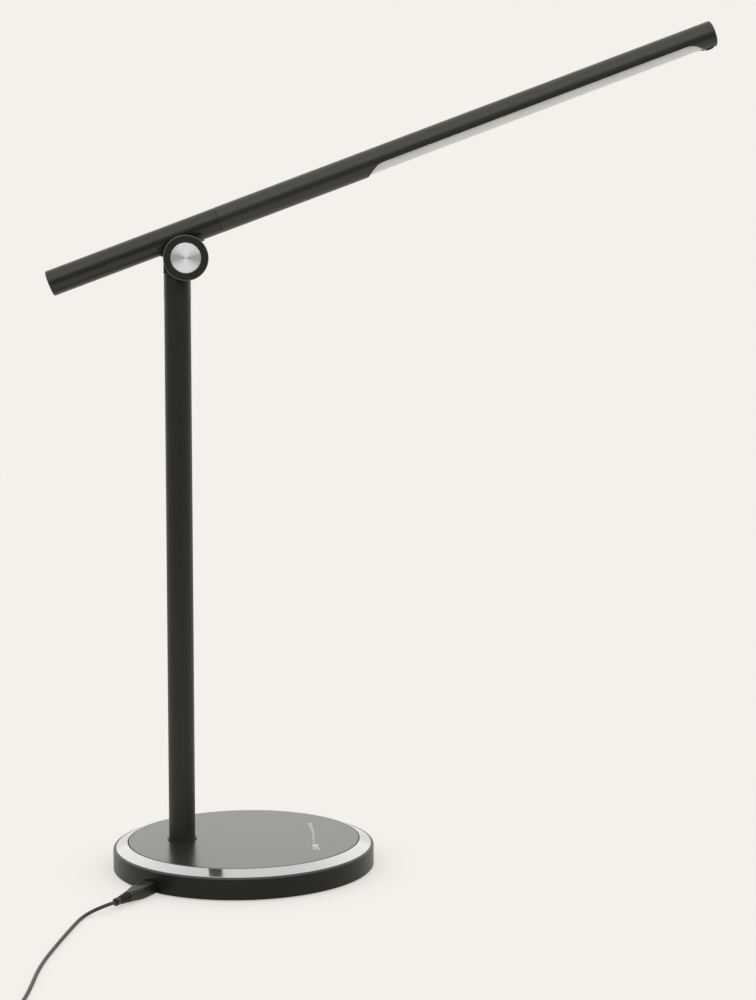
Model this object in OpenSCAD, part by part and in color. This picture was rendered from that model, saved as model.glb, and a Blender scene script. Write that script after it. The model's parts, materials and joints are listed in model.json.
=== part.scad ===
// Folding LED desk lamp: a weighted round base, an upright pole, a fork hinge
// with a silver disc, and one straight tube that carries the light.
// Millimetres. Origin: centre of the foot pad's underside. +Z up, +X from the
// pole towards the touch controls, the arm folds in the X-Z plane.

/* [Base] */
// Diameter of the base
base_d = 190; // [180:1:230]
// Height of the top plate above the table
base_h = 20; // [19:0.5:26]
// Thickness of the top plate
plate_t = 2.2; // [1.5:0.1:3]
// Width of the shell's rim outside the chrome ring
rim_w = 1.9; // [1.5:0.1:4]
// Width of the chrome ring
ring_w = 8.5; // [5:0.1:12]
// Fall of the chrome ring from the top plate to the shell
ring_drop = 3.7; // [2.5:0.1:4.5]
// Height of the chrome ring's outer edge
ring_edge = 1.2; // [0.8:0.1:2]
// Thickness of the shell's outer wall
shell_wall = 2.5; // [2:0.1:2.5]
// Thickness of the shell's deck
deck_t = 2.2; // [1.6:0.1:2.6]
// Radius of the shell's rounded top edge
shell_round = 1.6; // [0.8:0.1:1.8]
// Chamfer round the shell's lower edge
shell_chamfer = 0.4; // [0.2:0.1:1]
// Gap between the shell's lower edge and the table
shell_lift = 0.8; // [0.4:0.1:1]
// Width of the bottom cover's edge outside the foot pad
pad_inset = 1.2; // [0.5:0.1:10]
// Thickness of the foot pad
pad_t = 1; // [0.8:0.1:1.5]
// Gap between the bottom cover's edge and the shell's wall
cover_gap = 1.3; // [0.2:0.1:3]
// Thickness of the bottom cover
cover_t = 1.6; // [1.2:0.1:1.6]
// Gap between the ballast plate's edge and the shell's wall
ballast_gap = 18.5; // [16:0.5:26]
// Thickness of the ballast plate
ballast_t = 8; // [5:0.1:8]
// Number of screws in the bottom cover
cover_screws_n = 5; // [3:1:6]
// Distance of the cover screws from the shell's outer face
cover_screw_in = 12; // [10:0.5:14]
// Diameter of a screw boss in the shell
boss_d = 7; // [6:0.1:8]
// Thread diameter of the cover screws
cover_screw_d = 3; // [2.5:0.1:3.5]
// Length of the cover screws
cover_screw_l = 9; // [6:0.5:10]

/* [Controls] */
// Distance of the touch controls from the base's centre
touch_x = 50.5; // [40:0.5:60]
// Sideways place of the middle of the touch controls
touch_y = 3; // [-6:0.5:8]
// Length of the touch board
board_l = 84; // [70:1:90]
// Width of the touch board
board_w = 20; // [16:1:24]
// Thickness of the touch board
board_t = 1.2; // [0.8:0.1:1.6]
// Height of the parts soldered under the touch board
board_part_h = 1.6; // [1:0.1:2]

/* [Pole] */
// Distance of the pole from the base's centre
pole_off = 45.2; // [36:0.1:50]
// Diameter of the pole
pole_d = 19.1; // [18:0.1:22]
// Wall of the pole
pole_wall = 1.4; // [1:0.1:2]
// Height of the pole's top end above the table
pole_top = 412; // [300:1:500]
// Width of the collar round the pole's foot
collar_w = 1.25; // [0.75:0.05:4]
// Height of the collar
collar_h = 1.7; // [1:0.1:4]
// Diameter of the pole foot's flange
flange_d = 40; // [36:0.5:50]
// Thickness of the pole foot's flange
flange_t = 2.4; // [2:0.1:2.6]
// Height of the pole foot's spigot inside the pole
foot_spigot_l = 24; // [15:1:40]
// Number of screws that hold the pole foot
pole_screws_n = 3; // [3:1:4]
// Radius of the circle of pole screws
pole_screw_r = 14.5; // [13.5:0.1:15]
// Thread diameter of the pole screws
pole_screw_d = 4; // [3:0.1:4.5]
// Diameter of the pole screws' heads
pole_head_d = 7; // [6:0.1:8]
// Height of the pole screws' heads
pole_head_h = 2.6; // [2:0.1:3]
// Diameter of the lead inside the pole and the arm
lead_d = 4; // [3:0.1:4.4]

/* [Neck] */
// Diameter of the neck
neck_d = 19.4; // [18.5:0.1:22]
// Length of the neck's spigot inside the pole
spigot_l = 22; // [14:1:40]
// Height of the hinge above the pole's top end
hinge_rise = 29.2; // [26:0.1:40]
// Sideways offset of the hinge from the pole
hinge_off = 7; // [6:0.1:9]
// Radius of the fork's ears
ear_r = 14; // [13.4:0.1:14.4]
// Thickness of a fork's ear
ear_t = 3.4; // [2.5:0.1:4]
// Reach of the ear's heel behind the hinge
heel_reach = 16; // [14.6:0.1:16.2]
// Depth of the fork's floor below the hinge at the heel
heel_drop = 9.5; // [9:0.1:10.5]
// Corner radius of the heel
heel_round = 1.5; // [0.5:0.1:2.5]
// How far the heel reaches down past the top of the neck
heel_lap = 1.2; // [0.4:0.1:2]
// Diameter of the grub screw in the neck
grub_d = 3; // [2.5:0.1:3.5]
// Height of the grub screw above the foot of the spigot
grub_up = 10; // [7:0.5:14]

/* [Hinge] */
// Diameter of the hinge axle
axle_d = 6; // [5:0.1:6]
// Diameter of the axle's head
axle_head_d = 12; // [10:0.1:14]
// Thickness of the axle's head
axle_head_t = 1.6; // [1.2:0.1:1.8]
// Diameter of the recess for the cap in the front ear
recess_d = 24; // [22:0.1:25]
// Depth of that recess
recess_t = 1; // [0.6:0.1:1.4]
// Thickness of a friction washer
friction_t = 0.7; // [0.5:0.05:1]
// Diameter of a friction washer
friction_d = 20; // [14:0.1:21]
// Thickness of a disc spring
spring_t = 0.8; // [0.5:0.1:1]
// Diameter of a disc spring
spring_d = 13; // [11:0.1:15]
// Width of the hinge nut across its flats
nut_af = 10; // [9:0.1:11]
// Thickness of the hinge nut
nut_t = 3; // [2.5:0.1:3.6]
// Diameter of the front cap ring
cap_d = 32.2; // [30:0.1:36]
// Height of the front cap ring above the ear
cap_t = 3; // [2.7:0.1:4]
// Rounding of the front cap ring's rim
cap_round = 0.7; // [0.3:0.1:1]
// Diameter of the silver disc
disc_d = 21.3; // [18:0.1:23]
// Thickness of the silver disc
disc_t = 1.5; // [1:0.1:1.7]
// Width of the ledge behind the silver disc
disc_ledge = 1.1; // [0.8:0.1:1.5]
// Diameter of the rear cover
rear_d = 25.6; // [24:0.1:26]
// Depth of the rear cover
rear_t = 7.2; // [6.8:0.1:9]
// Wall of the rear cover
rear_wall = 1.4; // [1:0.1:2.2]

/* [Arm] */
// Tilt of the arm above level as modelled
arm_tilt = 20.7; // [0:0.1:50]
// Distance from the hinge to the arm's centre line
arm_rise = 18.1; // [17.6:0.1:20]
// Diameter of the arm tube
arm_d = 18.6; // [17.6:0.1:18.8]
// Wall of the arm and head tubes
tube_wall = 1.2; // [0.8:0.1:1.5]
// Reach of the arm behind the hinge
arm_back = 97.8; // [60:0.1:140]
// Reach of the arm tube ahead of the hinge
arm_front = 31.1; // [28:0.1:60]
// Radius of the lug's barrel round the axle
lug_r = 11; // [9.5:0.1:11]
// Half length of the lug's saddle
saddle_reach = 16.6; // [12:0.1:16.8]
// Thickness of the lug's saddle
saddle_t = 0.9; // [0.6:0.1:1]
// Depth below the tube's centre line where the saddle stops
saddle_edge = 5; // [4:0.1:7]
// Thread diameter of the lug screws
lug_screw_d = 3; // [2.5:0.1:3]
// Diameter of the lug screws' heads
lug_head_d = 5; // [4:0.1:5.2]
// Distance of each lug screw from the middle of the lug
lug_screw_s = 3.4; // [2.8:0.1:4]
// Distance of the lead's hole behind the middle of the lug
lead_hole_s = 10.5; // [9.5:0.1:12]
// Thickness of the end caps' rims
endcap_t = 2.7; // [2:0.1:4]
// Edge rounding of the end caps
endcap_round = 1.2; // [0.6:0.1:1.6]
// Depth of the end caps' spigots
endcap_spigot = 6; // [4:0.5:10]

/* [Head] */
// Distance of the tip from the hinge, along the arm
head_reach = 411; // [400:0.1:460]
// Diameter of the head tube
head_d = 18.8; // [18:0.1:19.2]
// Gap between the arm tube and the head tube
seam_gap = 0.3; // [0.2:0.05:0.6]
// Distance along the arm where the light opening starts
slot_from = 142.6; // [120:0.1:180]
// Distance from the tip to the end of the light opening
slot_end = 10.4; // [10:0.1:40]
// Depth of the opening's edge below the centre line
slot_drop = 3.4; // [2:0.1:4.5]
// Radius of the rounded ends of the opening's edge
slot_round = 14; // [8:0.5:20]
// Slope of the opening's ends
slot_slope = 33; // [25:1:50]
// Wall of the diffuser
diffuser_wall = 1.1; // [0.8:0.1:1.6]
// Width of the LED board
led_board_w = 11; // [8:0.1:12]
// Thickness of the LED board
led_board_t = 1; // [0.8:0.1:1.6]
// Thickness of the aluminium strip that carries the LED board
carrier_t = 1.8; // [1:0.1:3]
// Number of LEDs
led_n = 40; // [20:1:40]
// Length of one LED
led_l = 3.5; // [2.8:0.1:4]
// Width of one LED
led_w = 2.8; // [2:0.1:3.5]
// Height of one LED
led_h = 0.7; // [0.5:0.1:0.9]
// Length of the bumper along the head
bumper_l = 5.5; // [4:0.1:7]
// Width of the bumper across the head
bumper_w = 6; // [4:0.1:8]
// Height by which the bumper stands out of the head
bumper_h = 1.2; // [0.8:0.1:2]
// Distance of the bumper's middle from the tip
bumper_back = 5.7; // [5.6:0.1:6.8]
// Radius of the journal that the head turns on
journal_r = 6.5; // [6:0.1:6.8]
// Length of the journal ahead of the seam
journal_l = 18; // [15:0.5:24]
// Turn of the head to either side
roll_limit = 90; // [45:1:110]

/* [Socket and plug] */
// Bearing of the socket's axis, counter-clockwise from +X
socket_dir = 240; // [225:1:245]
// Sideways shift of the socket from the base's middle
socket_side = 19; // [10:0.5:20]
// Height of the socket's axis above the table
socket_z = 4.8; // [4.6:0.1:5.2]
// Depth of the plug's seating face inside the shell's outer face
socket_in = 3.7; // [3.4:0.1:3.8]
// Width of the plug's moulding
plug_w = 10.6; // [9:0.1:11]
// Height of the plug's moulding
plug_h = 8.2; // [7.6:0.1:8.4]
// Length of the plug's moulding ahead of its taper
plug_l = 17; // [14:0.5:26]
// Length of the plug's taper
plug_taper = 14; // [6:0.5:18]
// Length of the plug's strain relief
relief_l = 13; // [12:0.5:24]
// Diameter of the strain relief where it meets the plug
relief_d1 = 6.8; // [5:0.1:7.5]
// Diameter of the strain relief at the cord
relief_d2 = 4.8; // [4:0.1:6]

/* [Cord] */
// Diameter of the power cord
cord_d = 2.5; // [2:0.1:2.5]

/* [Fits] */
// Radial clearance of turning fits
run_fit = 0.05; // [0.02:0.01:0.1]
// Radial clearance of fixed fits
seat_fit = 0.05; // [0.02:0.01:0.1]
// Clearance of pieces dropped into a recess
drop_fit = 0.15; // [0.1:0.05:0.3]
// Clearance between the fork and what swings in it
swing_gap = 0.4; // [0.3:0.05:0.6]

/* [Hidden] */
$fn = 72;
eps = 0.01;
arc_steps = 6;
cut = 40;

// Base levels and radii
base_r = base_d / 2;
ring_r = base_r - rim_w;
ring_in_r = ring_r - ring_w;
plate_r = ring_in_r - drop_fit;
deck_top = base_h - plate_t;
deck_under = deck_top - deck_t;
shoulder_z = base_h - ring_drop;
ledge_z = shoulder_z - ring_edge;
ledge_under = ledge_z - deck_t;
cover_z = pad_t;
floor_z = cover_z + cover_t;
ballast_top = floor_z + ballast_t;
deck_r = plate_r - drop_fit;
seat_r = ring_r + drop_fit;
rim_round = min(shell_round, base_r - seat_r - 0.05);
shell_in_r = base_r - shell_wall;
cover_r = shell_in_r - cover_gap;
pad_r = cover_r - pad_inset;
ballast_r = shell_in_r - ballast_gap;
cover_screw_r = base_r - cover_screw_in;
screw_bite = 0.05;

// Wiring in the base
wire_r = 0.9;
wire_z = ballast_top + wire_r + 0.15;
wire_end_z = deck_under - board_t - wire_r - 0.15;
channel_l = 54;
board_plug_x = 8;
board_plug_y = 17;

// Pole and neck
pole_x = -pole_off;
pole_r = pole_d / 2;
pole_bore = pole_r - pole_wall;
collar_r = pole_r + collar_w;
pole_z0 = ballast_top + flange_t;
lead_r = lead_d / 2;
lead_bore = lead_r + 0.3;
hinge_x = pole_x + hinge_off;
hinge_z = pole_top + hinge_rise;

// Fork, counted outwards from the hinge's middle plane
arm_r = arm_d / 2;
lug_half = arm_r - 0.3;
ear_in = lug_half + friction_t + 2 * run_fit;
ear_out = ear_in + ear_t;
axle_r = axle_d / 2;
floor_r = lug_r + swing_gap;
lug_web = sqrt(pow(lug_r, 2) - pow(arm_rise - arm_r, 2));
lug_screw_foot = axle_r + 1.2;
cap_r = cap_d / 2;
disc_r = disc_d / 2;
cap_y = -ear_out - cap_t;
disc_proud = 0.1;
head_y = -ear_out + recess_t;
rear_y = ear_out + seat_fit;

// Arm and head, counted along the arm from the hinge
head_r = head_d / 2;
arm_bore = arm_r - tube_wall;
head_bore = head_r - tube_wall;
head_start = arm_front + seam_gap;
head_end = head_reach - endcap_t;
arm_start = -arm_back + endcap_t;
bush_l = 17;
hub_end = head_start + journal_l - 3;
clip_t = 1;
carrier_end = head_end - endcap_spigot - 1;
carrier_face = -0.5;
carrier_r = head_bore - 0.05;
led_face = carrier_face - led_board_t;
slot_to = head_reach - slot_end;
slot_inner = slot_round - 0.02;
slot_tangent = slot_inner * sin(slot_slope);
slot_start = slot_drop + slot_round - slot_inner * cos(slot_slope);
slot_run = slot_tangent + (head_r - slot_start) / tan(slot_slope);
flat_from = slot_from + slot_run;
flat_to = slot_to - slot_run;
board_from = slot_from + 4;
board_to = slot_to - 4;
carrier_start = board_from - 0.4;
diffuser_r = head_bore - seat_fit;
bumper_s = head_reach - bumper_back;
pin_r = 1.2;
pin_s = head_start + 7;
pin_deep = 1.2;
pin_half_angle = asin(pin_r / (journal_r - pin_deep));
roll_margin = 2;

// Socket and plug, counted along the socket's axis
tip_l = 5.6;
tip_w = 6.7;
tip_h = 1.8;
tip_round = 0.4;
socket_w = 8.4;
socket_h = 2.9;
socket_l = 8.6;
socket_board_l = 18.5;
socket_board_w = 15;
socket_face = base_r - socket_in;
socket_board_s = socket_face - 22;
window_gap = 0.3;
notch_s = socket_board_s - 9;
notch_w = 19;
relief_from = socket_face + plug_l + plug_taper;
relief_to = relief_from + relief_l;

// Power cord: route from the strain relief to the coil, and from the coil to
// the far plug, laid on the table by hand
cord_r = cord_d / 2;
cord_route = [
  [-82.8, -105.4, 4.8], [-84.2, -107.8, 4.8], [-88, -112.2, 4.7], [-92, -116.4, 4.3],
  [-95.7, -119.7, 3.6], [-99.2, -122.9, 2.7], [-102.4, -127, 1.8], [-104.2, -131.2, 1.4],
  [-105.6, -136.5, 1.3], [-107.3, -146, 1.3], [-109.8, -161.5, 1.3], [-113.6, -187, 1.3],
  [-116.4, -208, 1.3], [-118.2, -226, 1.3], [-119, -242, 1.3], [-119.2, -262, 1.3],
  [-120, -284, 1.3], [-122, -303, 1.3], [-124.6, -318, 1.6], [-126, -330, 2.4],
  [-126, -338, 3.2]
];
coil_x = -112;
coil_y = -338;
coil_r = 14;
coil_wide = 10;
coil_high = 9;
coil_lift = 0.7;
tail_route = [
  [-98, -338, 5], [-97.6, -331, 4.4], [-95, -324, 3.4], [-90, -319.5, 2.6],
  [-83.6, -319.4, 2.7], [-78.6, -323, 3.4], [-76.5, -328, 4.1], [-76.4, -331, 4.2]
];

// Places a child in the arm's own frame: X along the arm, Z across it
module in_arm() {
  translate([hinge_x, 0, hinge_z]) rotate([0, -arm_tilt, 0]) children();
}

// Round bar along the arm, from s0 to s1
module along(s0, s1, r) {
  translate([s0, 0, arm_rise]) rotate([0, 90, 0]) cylinder(h = s1 - s0, r = r);
}

// Round bar along Y, from y0 to y1
module across(y0, y1, r) {
  translate([0, y0, 0]) rotate([-90, 0, 0]) cylinder(h = y1 - y0, r = r);
}

// Disc or bar along Z, from z0 to z1
module upright(z0, z1, r) {
  translate([0, 0, z0]) cylinder(h = z1 - z0, r = r);
}

// Block from one corner to the opposite one
module block(a, b) {
  translate(a) cube(b - a);
}

// Points of a quarter arc, from angle a0 to a1 about c
function arc(c, r, a0, a1) = [
  for (i = [0:arc_steps]) let (a = a0 + (a1 - a0) * i / arc_steps) c + r * [cos(a), sin(a)]
];

// Places a child in the socket's own frame: X outwards along its axis
module at_socket() {
  rotate([0, 0, socket_dir]) translate([0, -socket_side, socket_z]) children();
}

// Places a child at each cover screw
module at_cover_screws() {
  for (i = [0:cover_screws_n - 1]) {
    rotate([0, 0, 30 + i * 360 / cover_screws_n]) translate([cover_screw_r, 0, 0]) children();
  }
}

// Places a child at the neck's grub screw, with Z out of the back of the pole
module at_grub_screw() {
  translate([pole_x, 0, pole_top - spigot_l + grub_up]) rotate([-90, 0, 0]) children();
}

// Places a child at each pole screw
module at_pole_screws() {
  for (i = [0:pole_screws_n - 1]) {
    translate([pole_x, 0, 0]) rotate([0, 0, 60 + i * 360 / pole_screws_n])
      translate([pole_screw_r, 0, 0]) children();
  }
}

// ---------------------------------------------------------------- base

module base_shell() {
  color("#26251f") difference() {
    union() {
      rotate_extrude() polygon(concat(
        [
          [0, deck_under], [ring_in_r - 2, deck_under], [ring_in_r - 2, ledge_under],
          [shell_in_r, ledge_under], [shell_in_r, shell_lift],
          [base_r - shell_chamfer, shell_lift], [base_r, shell_lift + shell_chamfer]
        ],
        arc([base_r - rim_round, shoulder_z - rim_round], rim_round, 0, 90),
        [[seat_r, shoulder_z], [seat_r, ledge_z], [deck_r, ledge_z], [deck_r, deck_top],
         [0, deck_top]]
      ));
      at_cover_screws() upright(floor_z, ledge_under + eps, boss_d / 2);
    }
    translate([pole_x, 0, 0]) upright(0, base_h, pole_r + drop_fit);
    at_cover_screws() upright(0, floor_z + cover_screw_l, cover_screw_d / 2 + screw_bite);
    at_board_screws() upright(deck_under - 1, deck_under + 1.5, 1 + screw_bite);
    at_socket() block(
      [socket_face - 9, -plug_w / 2 - window_gap, -socket_z - 1],
      [base_r + 5, plug_w / 2 + window_gap, plug_h / 2 + window_gap]
    );
  }
}

module base_top_plate() {
  color("#2a2a28") difference() {
    rotate_extrude() polygon([
      [0, deck_top], [plate_r, deck_top], [plate_r, base_h - 0.3],
      [plate_r - 0.3, base_h], [0, base_h]
    ]);
    translate([pole_x, 0, 0]) upright(0, base_h + 1, pole_r + drop_fit);
  }
}

module chrome_ring() {
  color("#d8dad8") rotate_extrude() polygon([
    [ring_in_r, ledge_z], [ring_r, ledge_z], [ring_r, shoulder_z],
    [ring_in_r + 0.5, base_h], [ring_in_r, base_h - 0.2]
  ]);
}

module ballast_plate() {
  color("#6d6f72") difference() {
    upright(floor_z, ballast_top, ballast_r);
    at_pole_screws() upright(0, ballast_top + 1, pole_screw_d / 2 + 0.3);
    at_pole_screws() upright(0, floor_z + pole_head_h + 0.4, pole_head_d / 2 + 0.3);
    translate([pole_x, 0, 0]) upright(ballast_top - 5, ballast_top + 1, lead_bore + 1);
    translate([pole_x, 0, 0]) block(
      [0, -lead_bore - 1, ballast_top - 5], [channel_l, lead_bore + 1, ballast_top + 1]
    );
    at_socket() block([notch_s, -notch_w / 2, -base_h], [base_d, notch_w / 2, base_h]);
  }
}

module bottom_cover() {
  color("#2c2c2a") difference() {
    upright(cover_z, floor_z, cover_r);
    at_cover_screws() translate([0, 0, cover_z - eps])
      cylinder(h = cover_t + 2 * eps, r1 = cover_screw_d + 0.1, r2 = cover_screw_d / 2 + 0.1);
  }
}

module cover_screws() {
  color("#9a9c9e") at_cover_screws() {
    translate([0, 0, cover_z])
      cylinder(h = cover_t, r1 = cover_screw_d, r2 = cover_screw_d / 2);
    upright(cover_z + cover_t - eps, cover_z + cover_screw_l, cover_screw_d / 2);
  }
}

module foot_pad() {
  color("#1b1b1b") upright(0, pad_t, pad_r);
}

// Places a child at each screw of the touch board
module at_board_screws() {
  for (k = [-1, 1]) translate([touch_x, touch_y + k * (board_l / 2 - 4), 0]) children();
}

module touch_board() {
  z1 = deck_under - 0.05;
  z0 = z1 - board_t;
  color("#1e5a38") difference() {
    union() {
      block([touch_x - board_w / 2, touch_y - board_l / 2, z0],
            [touch_x + board_w / 2, touch_y + board_l / 2, z1]);
      block([touch_x - 4, touch_y - 6, z0 - board_part_h], [touch_x + 4, touch_y + 6, z0 + eps]);
      for (k = [-1, 1]) translate([touch_x, touch_y + k * board_plug_y, z0])
        block([-board_plug_x, -4, -board_part_h], [6 - board_plug_x, 4, eps]);
    }
    at_board_screws() upright(z0 - 1, z1 + 1, 1.2);
  }
}

module board_screws() {
  z0 = deck_under - 0.05 - board_t;
  color("#9a9c9e") at_board_screws() {
    upright(z0 - 1.2, z0, 2);
    upright(z0 - eps, deck_under + 1.4, 1);
  }
}

module socket_board() {
  color("#1e5a38") at_socket() block(
    [socket_board_s, -socket_board_w / 2, floor_z - socket_z + 0.02],
    [socket_board_s + socket_board_l, socket_board_w / 2, -socket_h / 2 - 0.02]
  );
}

module power_socket() {
  color("#b9babb") at_socket() difference() {
    block([socket_face - 0.2 - socket_l, -socket_w / 2, -socket_h / 2],
          [socket_face - 0.2, socket_w / 2, socket_h / 2]);
    block([socket_face - tip_l - 0.4, -tip_w / 2 - 0.12, -tip_h / 2 - 0.12],
          [socket_face + 1, tip_w / 2 + 0.12, tip_h / 2 + 0.12]);
  }
}

// ---------------------------------------------------------------- pole

module pole_tube() {
  color("#33302a") translate([pole_x, 0, 0]) difference() {
    upright(pole_z0, pole_top, pole_r);
    upright(pole_z0 - 1, pole_top + 1, pole_bore);
    translate([-pole_x, 0, 0]) at_grub_screw() cylinder(h = pole_r + 1, r = grub_d / 2 + screw_bite);
  }
}

module pole_collar() {
  color("#1d1c19") translate([pole_x, 0, 0]) difference() {
    rotate_extrude() polygon([
      [0, base_h], [collar_r, base_h], [collar_r, base_h + collar_h - 0.4],
      [collar_r - 0.4, base_h + collar_h], [0, base_h + collar_h]
    ]);
    upright(base_h - 1, base_h + collar_h + 1, pole_r + seat_fit);
  }
}

module pole_foot() {
  color("#8a8c8e") difference() {
    translate([pole_x, 0, 0]) union() {
      upright(ballast_top, pole_z0, flange_d / 2);
      upright(pole_z0 - eps, pole_z0 + foot_spigot_l, pole_bore - seat_fit);
    }
    translate([pole_x, 0, 0]) upright(ballast_top - 1, pole_z0 + foot_spigot_l + 1, lead_bore);
    at_pole_screws() upright(ballast_top - 1, pole_z0 + 1, pole_screw_d / 2 + screw_bite);
  }
}

module pole_screws() {
  color("#9a9c9e") at_pole_screws() {
    upright(floor_z + 0.4, floor_z + 0.4 + pole_head_h, pole_head_d / 2);
    upright(floor_z + 0.4, pole_z0 - 0.2, pole_screw_d / 2);
  }
}

module pole_lead() {
  color("#e4e2dc") translate([pole_x, 0, 0])
    upright(ballast_top + 0.4, hinge_z - heel_drop - 3, lead_r);
}

// ---------------------------------------------------------------- neck

module neck_fork() {
  color("#33302a") difference() {
    union() {
      translate([pole_x, 0, 0]) {
        upright(pole_top - spigot_l, pole_top + eps, pole_bore - seat_fit);
        upright(pole_top + 0.2, hinge_z - heel_drop, neck_d / 2);
        upright(pole_top, pole_top + 0.3, neck_d / 2 - 0.2);
      }
      translate([hinge_x, 0, hinge_z]) {
        across(-ear_out, ear_out, ear_r);
        heel();
      }
    }
    translate([pole_x, 0, 0]) upright(pole_top - spigot_l - 1, hinge_z, lead_bore);
    at_grub_screw() cylinder(h = pole_r, r = grub_d / 2 + screw_bite);
    translate([hinge_x, 0, hinge_z]) {
      across(-ear_in, ear_in, floor_r);
      block([-cut, -ear_in, -heel_drop], [cut, ear_in, cut]);
      block([arm_rise - arm_r - saddle_t - swing_gap, -ear_in, -cut / 2], [cut, ear_in, cut]);
      across(-ear_out - 1, ear_out + 1, axle_r + seat_fit);
      across(-ear_out - 1, head_y, recess_d / 2);
    }
  }
}

// Straight heel of the fork's ears, on the side away from the light
module heel() {
  for (k = [-1, 1]) {
    y0 = k > 0 ? ear_in : -ear_out;
    translate([0, y0, 0]) rotate([-90, 0, 0]) linear_extrude(height = ear_t) {
      translate([-heel_reach, heel_round]) square([heel_reach, heel_drop + heel_lap - heel_round]);
      translate([-heel_reach + heel_round, 0]) square([heel_reach - heel_round, heel_drop]);
      translate([-heel_reach + heel_round, heel_round]) circle(heel_round);
    }
  }
}

module neck_grub_screw() {
  color("#9a9c9e") at_grub_screw() translate([0, 0, lead_bore + 0.3])
    cylinder(h = pole_r - lead_bore - 0.5, r = grub_d / 2);
}

module hinge_axle() {
  color("#b5b7ba") translate([hinge_x, 0, hinge_z]) {
    across(head_y - eps, rear_y + 2 * spring_t + nut_t, axle_r);
    across(head_y - axle_head_t, head_y, axle_head_d / 2);
  }
}

module friction_washers() {
  color("#c9b27c") translate([hinge_x, 0, hinge_z]) for (k = [-1, 1]) {
    y0 = k > 0 ? lug_half + run_fit : -lug_half - run_fit - friction_t;
    difference() {
      across(y0, y0 + friction_t, friction_d / 2);
      across(y0 - 1, y0 + friction_t + 1, axle_r + run_fit);
    }
  }
}

module disc_springs() {
  color("#8f9194") translate([hinge_x, 0, hinge_z]) for (i = [0, 1]) {
    y0 = rear_y + i * spring_t;
    difference() {
      across(y0, y0 + spring_t - 0.02, spring_d / 2);
      across(y0 - 1, y0 + spring_t + 1, axle_r + run_fit);
    }
  }
}

module hinge_nut() {
  color("#b5b7ba") translate([hinge_x, 0, hinge_z]) difference() {
    translate([0, rear_y + 2 * spring_t, 0]) rotate([-90, 0, 0])
      cylinder(h = nut_t, r = nut_af / 2 / cos(30), $fn = 6);
    across(rear_y, rear_y + 2 * spring_t + nut_t + 1, axle_r + seat_fit);
  }
}

module hinge_cap_ring() {
  ledge_y = -cap_y + disc_proud - disc_t;
  color("#1e1c18") translate([hinge_x, 0, hinge_z]) rotate([90, 0, 0]) rotate_extrude()
    polygon(concat(
      [[cap_r - 0.3, ear_out + 0.02], [cap_r, ear_out + 0.32]],
      arc([cap_r - cap_round, -cap_y - cap_round], cap_round, 0, 90),
      [
        [disc_r + seat_fit, -cap_y], [disc_r + seat_fit, ledge_y],
        [disc_r - disc_ledge, ledge_y], [disc_r - disc_ledge, -head_y + 0.05],
        [recess_d / 2 - seat_fit, -head_y + 0.05], [recess_d / 2 - seat_fit, ear_out + 0.02]
      ]
    ));
}

module hinge_cap_disc() {
  front = -cap_y + disc_proud;
  color("#c7c9ca") translate([hinge_x, 0, hinge_z]) rotate([90, 0, 0]) rotate_extrude()
    polygon([
      [0, front - disc_t + 0.01], [disc_r, front - disc_t + 0.01], [disc_r, front - 0.25],
      [disc_r - 0.25, front], [0, front]
    ]);
}

module hinge_rear_cover() {
  r = rear_d / 2;
  y1 = ear_out + rear_t;
  color("#1e1c18") translate([hinge_x, 0, hinge_z]) rotate([-90, 0, 0]) rotate_extrude()
    polygon(concat(
      [[r - rear_wall, ear_out + 0.02], [r, ear_out + 0.02]],
      arc([r - rear_wall, y1 - rear_wall], rear_wall, 0, 90),
      [[0, y1], [0, y1 - rear_wall], [r - rear_wall, y1 - rear_wall]]
    ));
}

// ---------------------------------------------------------------- arm

module arm_tube() {
  color("#45453f") in_arm() difference() {
    along(arm_start, arm_front, arm_r);
    along(arm_start - 1, arm_front + 1, arm_bore);
    translate([-lead_hole_s, 0, 0]) upright(0, arm_rise, lead_bore);
    at_lug_screws() upright(0, arm_rise, lug_screw_d / 2 + 0.1);
  }
}

// Places a child at each lug screw
module at_lug_screws() {
  for (k = [-1, 1]) translate([k * lug_screw_s, 0, 0]) children();
}

module arm_lug() {
  color("#1e1c18") in_arm() difference() {
    union() {
      across(-lug_half, lug_half, lug_r);
      block([-lug_web, -lug_half, 0], [lug_web, lug_half, arm_rise - arm_r + 1]);
      intersection() {
        along(-saddle_reach, saddle_reach, arm_r + saddle_t);
        block([-cut, -cut, 0], [cut, cut, arm_rise - saddle_edge]);
      }
    }
    along(-cut, cut, arm_r + 0.02);
    across(-arm_r - 1, arm_r + 1, axle_r + run_fit);
    translate([-lead_hole_s, 0, 0]) upright(0, arm_rise, lead_bore);
    at_lug_screws() upright(lug_screw_foot - 0.2, arm_rise, lug_screw_d / 2 + screw_bite);
  }
}

module lug_screws() {
  seat = arm_rise - sqrt(pow(arm_bore, 2) - pow(lug_head_d / 2, 2)) + 0.02;
  color("#9a9c9e") in_arm() at_lug_screws() {
    upright(seat, seat + 1.8, lug_head_d / 2);
    upright(lug_screw_foot, seat + 1, lug_screw_d / 2);
  }
}

// End cap for a tube: rim and spigot, drawn along +Z from the tube's end
module tube_cap(r, bore) {
  rotate_extrude() polygon(concat(
    [[0, -endcap_spigot], [bore - seat_fit - 0.3, -endcap_spigot],
     [bore - seat_fit, -endcap_spigot + 0.3], [bore - seat_fit, 0], [r, 0]],
    arc([r - endcap_round, endcap_t - endcap_round], endcap_round, 0, 90),
    [[0, endcap_t]]
  ));
}

module arm_end_cap() {
  color("#3c3b36") in_arm() translate([arm_start, 0, arm_rise]) rotate([0, -90, 0])
    tube_cap(arm_r, arm_bore);
}

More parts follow.
